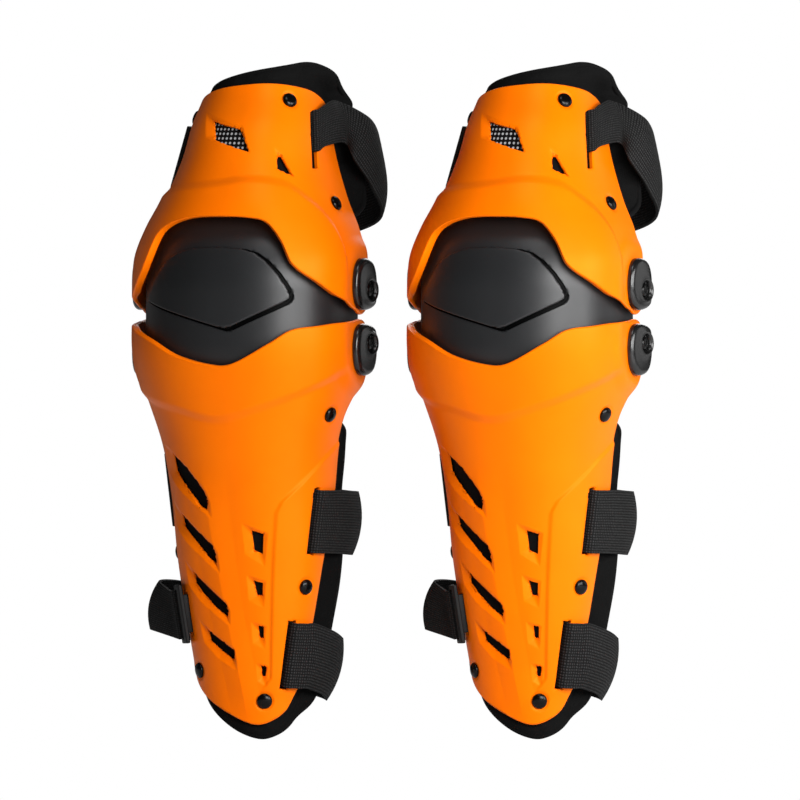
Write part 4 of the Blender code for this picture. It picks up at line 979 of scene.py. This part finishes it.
# %% Hooks
HOOK_MARGIN, HOOK_SPACE = 0.0038, 0.0003
HOOK_ROUND = 0.0008
TONGUE = (0.005, 0.0075)
TONGUE_DEPTH, TONGUE_ROOT = 0.0026, 0.0008


def make_hook(name, surface):
    low, high = STRAPS[name]["left"]
    half = (high[1] - low[1]) / 2
    piece, u, v = flat_grid(name + "_strap_hook", 3, 3)
    across = np.array((-HOOK_HALF, -HOOK_HALF + HOOK_BAR, -HOOK_HALF + HOOK_BAR + HOOK_WINDOW, HOOK_HALF))
    upward = np.array((-half - HOOK_MARGIN, -half - HOOK_SPACE, half + HOOK_SPACE, half + HOOK_MARGIN))
    column, row = np.rint((u + 1) * 1.5).astype(int), np.rint(v * 3).astype(int)
    set_points(piece, np.stack([across[column], upward[row], np.full(len(u), HOOK_LIFT)], 1))
    bpy.ops.object.mode_set(mode="EDIT")
    bpy.ops.mesh.select_all(action="DESELECT")
    shape = bmesh.from_edit_mesh(piece.data)
    shape.faces.ensure_lookup_table()
    shape.faces[4].select = True
    bpy.ops.mesh.delete(type="FACE")
    bpy.ops.object.mode_set(mode="OBJECT")
    apply_modifier(piece, "SOLIDIFY", thickness=HOOK_THICKNESS, offset=1.0)
    bpy.ops.mesh.primitive_cube_add(
        size=1, location=(sum(TONGUE) / 2, 0, (HOOK_LIFT - TONGUE_DEPTH + TONGUE_ROOT) / 2),
        scale=(TONGUE[1] - TONGUE[0], 2 * TONGUE_SHARE * half, HOOK_LIFT + TONGUE_DEPTH + TONGUE_ROOT))
    tongue = bpy.context.object
    bpy.ops.object.transform_apply(location=True, rotation=False, scale=True)
    activate(piece)
    tongue.select_set(True)
    bpy.ops.object.join()
    apply_modifier(piece, "BEVEL", width=HOOK_ROUND, segments=3, limit_method="ANGLE",
                   angle_limit=math.radians(50))
    smooth(piece)
    piece.data.transform(hook_frame(surface, name))
    return piece


hooks = {name: make_hook(name, carrier[0]) for name, carrier in CARRIERS.items()}
print("hooks:", len(hooks))

# %% [markdown]
# ## Liners
# A liner is foam between two fabrics, stitched in channels and bound at the edge. Its outer fabric is fixed
# to the plate; the rest is free to swell between the seams. A cloth simulation with pressure and no gravity
# swells it, with the border, the seams and the part behind the plate pinned. Above the plate the thigh
# liner opens outward, and behind the plate's wide vent it carries a patch of pale dotted mesh.

# %% Liner outlines
LINER_EDGE = 0.0035
LINER_INSET = WALL + 0.0012
LINERS = {
    "thigh_liner": {
        "low": mirrored(((0, 0.097), (60, 0.092), (85, 0.078), (100, 0.074), (116, 0.080))),
        "high": ((-116, 0.126), (-105, 0.140), (-85, 0.151), (-50, 0.163), (-20, 0.171), (10, 0.1770),
                 (48, 0.1806), (62, 0.1810), (75, 0.1790), (90, 0.1730), (105, 0.1635), (116, 0.149)),
        "side": ((0.065, 104), (0.080, 111), (0.110, 112), (0.135, 110), (0.155, 114), (0.180, 104)),
        "flare": ((0.070, 0.011), (0.095, 0.016), (0.120, 0.020), (0.135, 0.018), (0.150, 0.018),
                  (0.185, 0.018)),
        "open": 45, "mesh": (-3, 0.130), "grid": (92, 48),
    },
    "shin_liner": {
        "low": ((-96, -0.252), (-66, -0.262), (-40, -0.278), (-11, -0.292), (10, -0.2985), (28, -0.3000),
                (45, -0.2970), (60, -0.2915), (75, -0.2825), (96, -0.2680)),
        "high": mirrored(((0, -0.073), (50, -0.072), (85, -0.078), (108, -0.088))),
        "side": ((-0.290, 84), (-0.260, 98), (-0.220, 104), (-0.185, 106), (-0.130, 102), (-0.105, 100),
                 (-0.080, 95)),
        "flare": ((-0.290, 0.005), (-0.260, 0.008), (-0.217, 0.009), (-0.185, 0.009), (-0.105, 0.005),
                  (-0.080, 0.002)),
        "open": 0, "mesh": None, "grid": (84, 92),
    },
    "knee_liner": {
        "low": mirrored(((0, -0.052), (30, -0.049), (62, -0.036))),
        "high": mirrored(((0, 0.064), (30, 0.060), (62, 0.046))),
        "side": ((-0.05, 58), (0.0, 62), (0.06, 56)),
        "flare": ((-0.05, 0.0), (0.06, 0.0)),
        "open": 0, "mesh": None, "grid": (64, 50),
    },
}
print("liners:", ", ".join(LINERS))

# %% Sewn, swollen liners
SWELL_FRAMES = 24
FLARE_START, FLARE_END = 8, 26  # degrees past the plate's side edge
SEAM_ACROSS, SEAM_UPWARD = 0.86, 0.41  # shares of the half width and of the height from the middle


def make_liner(name, base, left, right):
    """A liner's sheet behind its plate, with its thickness, seams and free parts."""
    outline = LINERS[name]
    across, upward = outline["grid"]
    piece, u, v = flat_grid(name, across, upward)
    side = outline["side"]
    degrees, height = lay_out(u, v, rim(outline["low"]), rim(outline["high"]), side, side)
    edge = np.where(u < 0, curve(left, height), curve(right, height))
    past = np.abs(degrees) - edge
    start = FLARE_START - outline["open"] * ease(0.158, 0.176, height)
    inset = LINER_INSET - curve(outline["flare"], height) * ease(start, FLARE_END, past)
    normal = outward(base, degrees, height)
    set_points(piece, base(degrees, height) - normal * inset[:, None])
    set_measure(piece, degrees * per_degree(base, 0.0, height.mean()), height)
    if outline["mesh"]:
        turn, rise = outline["mesh"]
        mark(piece, "mesh", ease(20, 15, np.abs(degrees - turn)) * ease(0.020, 0.015, np.abs(height - rise)))
    border = (np.abs(u) > 0.999) | (v < 0.001) | (v > 0.999)
    inner_border = (np.abs(np.abs(u) - SEAM_ACROSS) < 1.2 / across) & (v > 0.07) & (v < 0.93)
    inner_border |= (np.abs(np.abs(v - 0.5) - SEAM_UPWARD) < 0.6 / upward) & (np.abs(u) < 0.88)
    spine = (np.abs(u) < 1.2 / across) & (v > 0.08) & (v < 0.92)
    held = border | inner_border | spine
    behind = (past < 3) & (v < 0.90 if name == "thigh_liner" else v > 0.06)
    apply_modifier(piece, "SOLIDIFY", thickness=LINER_EDGE, offset=-1.0)
    pinned = np.concatenate((held | behind, held))
    group = piece.vertex_groups.new(name="pinned")
    group.add(np.flatnonzero(pinned).tolist(), 1.0, "REPLACE")
    return piece


def swell(piece):
    """Let the free fabric swell, and keep the shape."""
    activate(piece)
    cloth = piece.modifiers.new("swell", "CLOTH")
    settings = cloth.settings
    settings.quality = 6
    settings.mass = 0.15
    settings.tension_stiffness = settings.compression_stiffness = 20
    settings.bending_stiffness = 0.6
    settings.shrink_min = -0.03
    settings.vertex_group_mass = "pinned"
    settings.use_pressure = True
    settings.uniform_pressure_force = 4.0
    settings.effector_weights.gravity = 0.0
    cloth.point_cache.frame_end = SWELL_FRAMES
    for step in range(1, SWELL_FRAMES + 1):
        bpy.context.scene.frame_set(step)
    bpy.ops.object.modifier_apply(modifier=cloth.name)
    bpy.context.scene.frame_set(1)


liners = {}
for name, base, left, right in (("thigh_liner", thigh_base, THIGH_SIDE, THIGH_SIDE),
                                ("shin_liner", shin_base, SHIN_HOOK_SIDE, SHIN_SIDE),
                                ("knee_liner", cup_base, CUP_SIDE, CUP_SIDE)):
    piece = make_liner(name, base, left, right)
    before = get_points(piece)
    swell(piece)
    swollen = np.linalg.norm(get_points(piece) - before, axis=1)
    print(name, "swells by up to", round(1000 * swollen.max(), 1), "mm")
    liners[name] = piece

# %% [markdown]
# The edge binding is a folded ribbon sewn all round. A tube along the liner's edge gives it: the edge's
# points are walked in order, and a curve with a round bevel follows them.

# %% Bindings
BINDING_RADIUS = 0.0021


def edge_walk(across, upward):
    """Numbers of a grid's border points, in order round the sheet."""
    row = across + 1
    bottom = list(range(0, row))
    right = [row * k + across for k in range(1, upward + 1)]
    top = [row * upward + k for k in range(across - 1, -1, -1)]
    left = [row * k for k in range(upward - 1, 0, -1)]
    return np.array(bottom + right + top + left)


def add_object(name, data):
    """Put new data into the scene."""
    thing = bpy.data.objects.new(name, data)
    bpy.context.collection.objects.link(thing)
    return thing


def add_binding(piece, across, upward):
    points = get_points(piece)
    count = (across + 1) * (upward + 1)
    walk = edge_walk(across, upward)
    path = (points[walk] + points[walk + count]) / 2
    for _ in range(3):
        path = (np.roll(path, 1, 0) + 2 * path + np.roll(path, -1, 0)) / 4
    line = bpy.data.curves.new("binding", "CURVE")
    line.dimensions = "3D"
    line.bevel_depth = BINDING_RADIUS
    line.bevel_resolution = 3
    spline = line.splines.new("POLY")
    spline.points.add(len(path) - 1)
    spline.points.foreach_set("co", np.concatenate((path, np.ones((len(path), 1))), 1).ravel())
    spline.use_cyclic_u = True
    activate(add_object("binding", line))
    bpy.ops.object.convert(target="MESH")
    tube = bpy.context.object
    mark(tube, "ribbon", np.ones(len(tube.data.vertices)))
    activate(piece)
    tube.select_set(True)
    bpy.ops.object.join()
    smooth(piece, 60)


for name, piece in liners.items():
    add_binding(piece, *LINERS[name]["grid"])
print("bindings sewn on", len(liners), "liners")

# %% [markdown]
# ## Materials
# Every material starts from its colour as a designer would write it, in hexadecimal, and is varied a
# little: a moulded plastic has a fine spark-eroded grain, webbing has ribs, and knitted fabric has loops.

# %% Colour and node helpers


def linear(code):
    """A hexadecimal colour as linear values."""
    values = [int(code[k:k + 2], 16) / 255 for k in (1, 3, 5)]
    return tuple(v / 12.92 if v <= 0.04045 else ((v + 0.055) / 1.055) ** 2.4 for v in values) + (1.0,)


def add_node(tree, kind, links=(), **values):
    """Add a shader node, set its fields or sockets by name and link sources into its sockets."""
    node = tree.nodes.new("ShaderNode" + kind)
    for name, value in values.items():
        if hasattr(node, name):
            setattr(node, name, value)
        else:
            node.inputs[name.replace("_", " ")].default_value = value
    for socket, source in links:
        tree.links.new(source, node.inputs[socket])
    return node


def feed(tree, shader, **sources):
    """Link node outputs into a shader's sockets."""
    for name, source in sources.items():
        tree.links.new(source, shader.inputs[name.replace("_", " ")])


def blend(tree, share, first, second):
    """Mix a colour, which is a code or a node's output, with a second one by a share."""
    node = add_node(tree, "Mix", [(0, share)], data_type="RGBA")
    if isinstance(first, str):
        node.inputs[6].default_value = linear(first)
    else:
        tree.links.new(first, node.inputs[6])
    node.inputs[7].default_value = linear(second)
    return node.outputs[2]


def marked(tree, name):
    """A number kept on the piece's points."""
    return add_node(tree, "Attribute", attribute_name=name).outputs["Fac"]


def new_material(name):
    material = bpy.data.materials.new(name)
    material.use_nodes = True
    return material, material.node_tree, material.node_tree.nodes["Principled BSDF"]


print("orange in linear light:", [round(v, 3) for v in linear("#f67300")])

# %% Moulded plastics


def moulded(name, dark, light, roughness, grain, bump):
    """Injection-moulded plastic: faint flow marks in the colour and a fine grain."""
    material, tree, shader = new_material(name)
    place = add_node(tree, "TexCoord").outputs["Object"]
    flow = add_node(tree, "TexNoise", [("Vector", place)], Scale=22.0, Detail=2.0)
    fine = add_node(tree, "TexNoise", [("Vector", place)], Scale=1 / grain, Detail=3.0)
    colour = blend(tree, flow.outputs["Fac"], dark, light)
    rough = add_node(tree, "MapRange", [("Value", fine.outputs["Fac"])], To_Min=roughness - 0.05,
                     To_Max=roughness + 0.05)
    relief = add_node(tree, "Bump", [("Height", fine.outputs["Fac"])], Strength=bump, Distance=0.0002)
    feed(tree, shader, Base_Color=colour, Roughness=rough.outputs[0], Normal=relief.outputs[0])
    return material, tree, shader, colour


# The plates are a tough, satin polypropylene.
orange, _, shader, _ = moulded("orange_polypropylene", "#ee6900", "#f67300", 0.40, 0.0006, 0.10)
shader.inputs["Specular Tint"].default_value = linear("#ffa648")
# The cup is a grained black nylon; its groove gets painted shade, a near black colour and little shine, as
# little light gets into it.
cup_black, tree, shader, colour = moulded("black_nylon", "#141516", "#1b1c1e", 0.42, 0.0005, 0.25)
groove = marked(tree, "groove")
shine = add_node(tree, "MapRange", [("Value", groove)], To_Min=0.5, To_Max=0.03)
feed(tree, shader, Base_Color=blend(tree, groove, colour, "#020202"), Specular_IOR_Level=shine.outputs[0])
# The caps are polished black acetal; the hooks are the same plastic, left matt.
cap_black = moulded("black_acetal", "#0c0c0c", "#121212", 0.24, 0.0015, 0.03)[0]
hook_black, _, shader, _ = moulded("matt_black_acetal", "#0a0a0a", "#0f0f0f", 0.55, 0.0012, 0.05)
shader.inputs["Specular IOR Level"].default_value = 0.2
# The rivets and pins are steel with a black coat.
rivet_black, _, shader, _ = moulded("black_coated_steel", "#050505", "#090909", 0.20, 0.0012, 0.03)
shader.inputs["Metallic"].default_value = 0.3
shader.inputs["Specular IOR Level"].default_value = 0.25
print("plastics ready")

# %% [markdown]
# The straps are woven elastic: ribs run along the band, about one a millimetre, and the cross threads show
# between them. At that pitch the weave would blur away in the picture, so it is drawn twice as coarse. The
# liner's fabric is a fine knit, and its binding is a plain black ribbon. The pale dots of the mesh patch
# stand 3.4 mm apart.

# %% Fabrics
WAVE = 2 * math.pi / 20  # a wave texture's scale for waves one metre long
RIB_PITCH, THREAD_PITCH = 0.0019, 0.0018
LOOP_PITCH, DOT_PITCH = 0.0011, 0.0034


def ramp(tree, share, first, second):
    """A colour that runs from one code to another by a share."""
    node = add_node(tree, "ValToRGB", [("Fac", share)])
    for stop, code in zip(node.color_ramp.elements, (first, second)):
        stop.color = linear(code)
    return node.outputs["Color"]


webbing, tree, shader = new_material("woven_elastic")
measure = add_node(tree, "UVMap").outputs["UV"]
ribs = add_node(tree, "TexWave", [("Vector", measure)], Scale=WAVE / RIB_PITCH, Distortion=1.4, Detail=1.0,
                Detail_Scale=3.0, bands_direction="Y")
threads = add_node(tree, "TexWave", [("Vector", measure)], Scale=WAVE / THREAD_PITCH, Distortion=2.0,
                   Detail=1.0, Detail_Scale=2.0, bands_direction="X")
weave = add_node(tree, "Math", [(0, ribs.outputs["Fac"]), (1, threads.outputs["Fac"])], operation="MULTIPLY")
tone = ramp(tree, weave.outputs[0], "#050505", "#343434")
relief = add_node(tree, "Bump", [("Height", weave.outputs[0])], Strength=0.9, Distance=0.0005)
feed(tree, shader, Base_Color=tone, Normal=relief.outputs[0])
shader.inputs["Roughness"].default_value = 0.8
shader.inputs["Specular IOR Level"].default_value = 0.15

knit, tree, shader = new_material("knitted_liner_fabric")
measure = add_node(tree, "UVMap").outputs["UV"]
loops = add_node(tree, "TexVoronoi", [("Vector", measure)], Scale=1 / LOOP_PITCH, Randomness=0.35)
tone = ramp(tree, loops.outputs["Distance"], "#0d0d0d", "#040404")
cover = blend(tree, marked(tree, "ribbon"), tone, "#0b0b0b")
lattice = add_node(tree, "TexVoronoi", [("Vector", measure)], Scale=1 / DOT_PITCH, Randomness=0.0)
dots = add_node(tree, "MapRange", [("Value", lattice.outputs["Distance"])], From_Min=0.20, From_Max=0.31,
                To_Min=1.0, To_Max=0.0)
pale = add_node(tree, "Math", [(0, dots.outputs[0]), (1, marked(tree, "mesh"))], operation="MULTIPLY")
relief = add_node(tree, "Bump", [("Height", loops.outputs["Distance"])], Strength=0.5, Distance=0.0003,
                  invert=True)
feed(tree, shader, Base_Color=blend(tree, pale.outputs[0], cover, "#a6a8aa"), Normal=relief.outputs[0])
shader.inputs["Roughness"].default_value = 0.85
shader.inputs["Specular IOR Level"].default_value = 0.08
print("fabrics ready")

# %% [markdown]
# ## Placing both guards
# Each finished piece is moved to its guard, rides on the body that carries it, and stands for its CAD
# solid.

# %% Place the pieces
RIVET_SPACE = 0.0002
CAP_SPACE = 0.0003


def place(piece, pad, name, body, slot, material, matrix=None):
    """Put a copy of a piece in one guard and let it stand for that guard's CAD node."""
    shift = Matrix.Translation(((-1 if pad == "left" else 1) * PAD_SPACING / 2, 0, 0))
    copy = add_object(f"{pad}_{name}_look", piece.data.copy())
    copy.data.name = copy.name
    copy.data.transform(shift @ (matrix or Matrix.Identity(4)))
    copy.data.materials.clear()
    copy.data.materials.append(material)
    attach(copy, "shins" if body == "shins" else f"{pad}_{body}")
    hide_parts(f"{pad}_{name}")
    return copy


def hinge_frame(side, hinge, lift):
    """A frame on a hinge line: Z points out of that side, Y away from the knee's middle."""
    out, up = Vector((side, 0, 0)), Vector((0, 0, math.copysign(1, hinge)))
    placed = Matrix((up.cross(out), up, out)).transposed().to_4x4()
    placed.translation = Vector((side * (HALF_WIDTH + lift), 0, hinge))
    return placed


for pad in ("left", "right"):
    place(thigh_shell, pad, "thigh_shell", "thigh", "orange_plastic", orange)
    place(shin_shell, pad, "shin_shell", "shins", "orange_plastic", orange)
    place(knee_cup, pad, "knee_cup", "knee", "black_plastic", cup_black)
    for name, body in (("thigh_liner", "thigh"), ("shin_liner", "shins"), ("knee_liner", "knee")):
        place(liners[name], pad, name, body, "foam_fabric", knit)
    for name, body in (("thigh", "thigh"), ("calf", "shins"), ("ankle", "shins")):
        band = place(straps[name], pad, name + "_strap", body, "elastic_webbing", webbing)
        place(hooks[name], pad, name + "_strap_hook", body, "cap_plastic", hook_black)
    for surface, rivets, region, body in ((thigh_surface, THIGH_RIVETS, "thigh", "thigh"),
                                          (shin_surface, SHIN_RIVETS, "shin", "shins")):
        for spot, at in rivets.items():
            seat = surface_frame(surface, *at) @ Matrix.Translation((0, 0, RIVET_SPACE - DIMPLE_DEPTH))
            place(rivet, pad, f"{region}_rivet_{spot}", body, "rivet_steel", rivet_black, seat)
    for level, hinge, body in (("upper", UPPER_HINGE, "thigh"), ("lower", LOWER_HINGE, "shins")):
        for side_name, side in (("left", -1), ("right", 1)):
            seat = hinge_frame(side, hinge, 0.0)
            hand = 1 if seat.col[0].y < 0 else -1
            place(caps[hand], pad, f"{level}_{side_name}_hinge_cap", body, "cap_plastic", cap_black,
                  hinge_frame(side, hinge, CAP_SPACE))
            place(pin, pad, f"{level}_{side_name}_hinge_pin", body, "rivet_steel", rivet_black, seat)

models = [thigh_shell, shin_shell, knee_cup, rivet, pin, *caps.values(), *straps.values(), *hooks.values(),
          *liners.values()]
for piece in models:
    bpy.data.objects.remove(piece, do_unlink=True)

# %% [markdown]
# ## Studio
# The photo was taken on white with large soft light from the right, so the left sides fall into brown
# shade. A key and a fill at the right give that; weak lights from above, the left and behind lift the shade
# and the backs. The camera stands a little to the right of the guards and looks level, without perspective.
# A light's row gives its turn and lift in degrees, its distance and size in metres, and its power in watts.

# %% Camera, light and floor
PIXEL = 0.000714  # metres in the picture
PICTURE_WIDTH = 800
CAMERA_TURN = 20
AIM = (8.5, -83.2)  # pixels right of the guards' middle and above the knee
LIGHT_AIM = Vector((0, 0, -0.06))
LIGHTS = {
    "key": (44, 14, 1.6, 0.75, 25), "right_fill": (76, 12, 1.6, 0.7, 18), "top_light": (20, 60, 1.5, 0.5, 4),
    "left_fill": (-110, 10, 1.8, 1.2, 0.4), "right_rim": (125, 12, 1.6, 0.8, 2),
    "back_light": (190, 30, 1.6, 0.9, 9),
}
azimuth = math.radians(CAMERA_TURN)
to_right = Vector((math.cos(azimuth), math.sin(azimuth), 0))
to_camera = Vector((math.sin(azimuth), -math.cos(azimuth), 0))
lens = bpy.data.cameras.new("camera")
lens.type = "ORTHO"
lens.ortho_scale = PICTURE_WIDTH * PIXEL
camera = add_object("camera", lens)
camera.location = to_right * (AIM[0] * PIXEL) + Vector((0, 0, AIM[1] * PIXEL)) + to_camera * 2
camera.rotation_euler = (math.pi / 2, 0, azimuth)
bpy.context.scene.camera = camera


def soft_light(name, turn, lift, distance, size, power):
    """A square softbox aimed at the guards; turn is its azimuth from the front, lift its elevation."""
    lamp = bpy.data.lights.new(name, "AREA")
    lamp.size = size
    lamp.energy = power
    box = add_object(name, lamp)
    a, e = math.radians(turn), math.radians(lift)
    direction = Vector((math.sin(a) * math.cos(e), -math.cos(a) * math.cos(e), math.sin(e)))
    box.location = LIGHT_AIM + direction * distance
    box.rotation_euler = direction.to_track_quat("Z", "Y").to_euler()


for name, settings in LIGHTS.items():
    soft_light(name, *settings)

bpy.ops.mesh.primitive_plane_add(size=8, location=(0, 0, cad_low.z - 0.001))
floor = bpy.context.object
floor.name = "floor"
paper, tree, shader = new_material("white_paper")
shader.inputs["Base Color"].default_value = linear("#f4f4f4")
shader.inputs["Roughness"].default_value = 0.9
floor.data.materials.append(paper)

world = bpy.context.scene.world or bpy.data.worlds.new("studio")
bpy.context.scene.world = world
world.use_nodes = True
tree = world.node_tree
back = tree.nodes["Background"]
rays = add_node(tree, "LightPath")
white = add_node(tree, "Background", Color=(1, 1, 1, 1), Strength=1.0)
mix = add_node(tree, "MixShader", [(0, rays.outputs["Is Camera Ray"]), (1, back.outputs[0]),
                                   (2, white.outputs[0])])
back.inputs["Color"].default_value = (1, 1, 1, 1)
back.inputs["Strength"].default_value = 0.05
tree.links.new(mix.outputs[0], tree.nodes["World Output"].inputs["Surface"])
bpy.context.scene.view_settings.view_transform = "Standard"
print("studio ready")
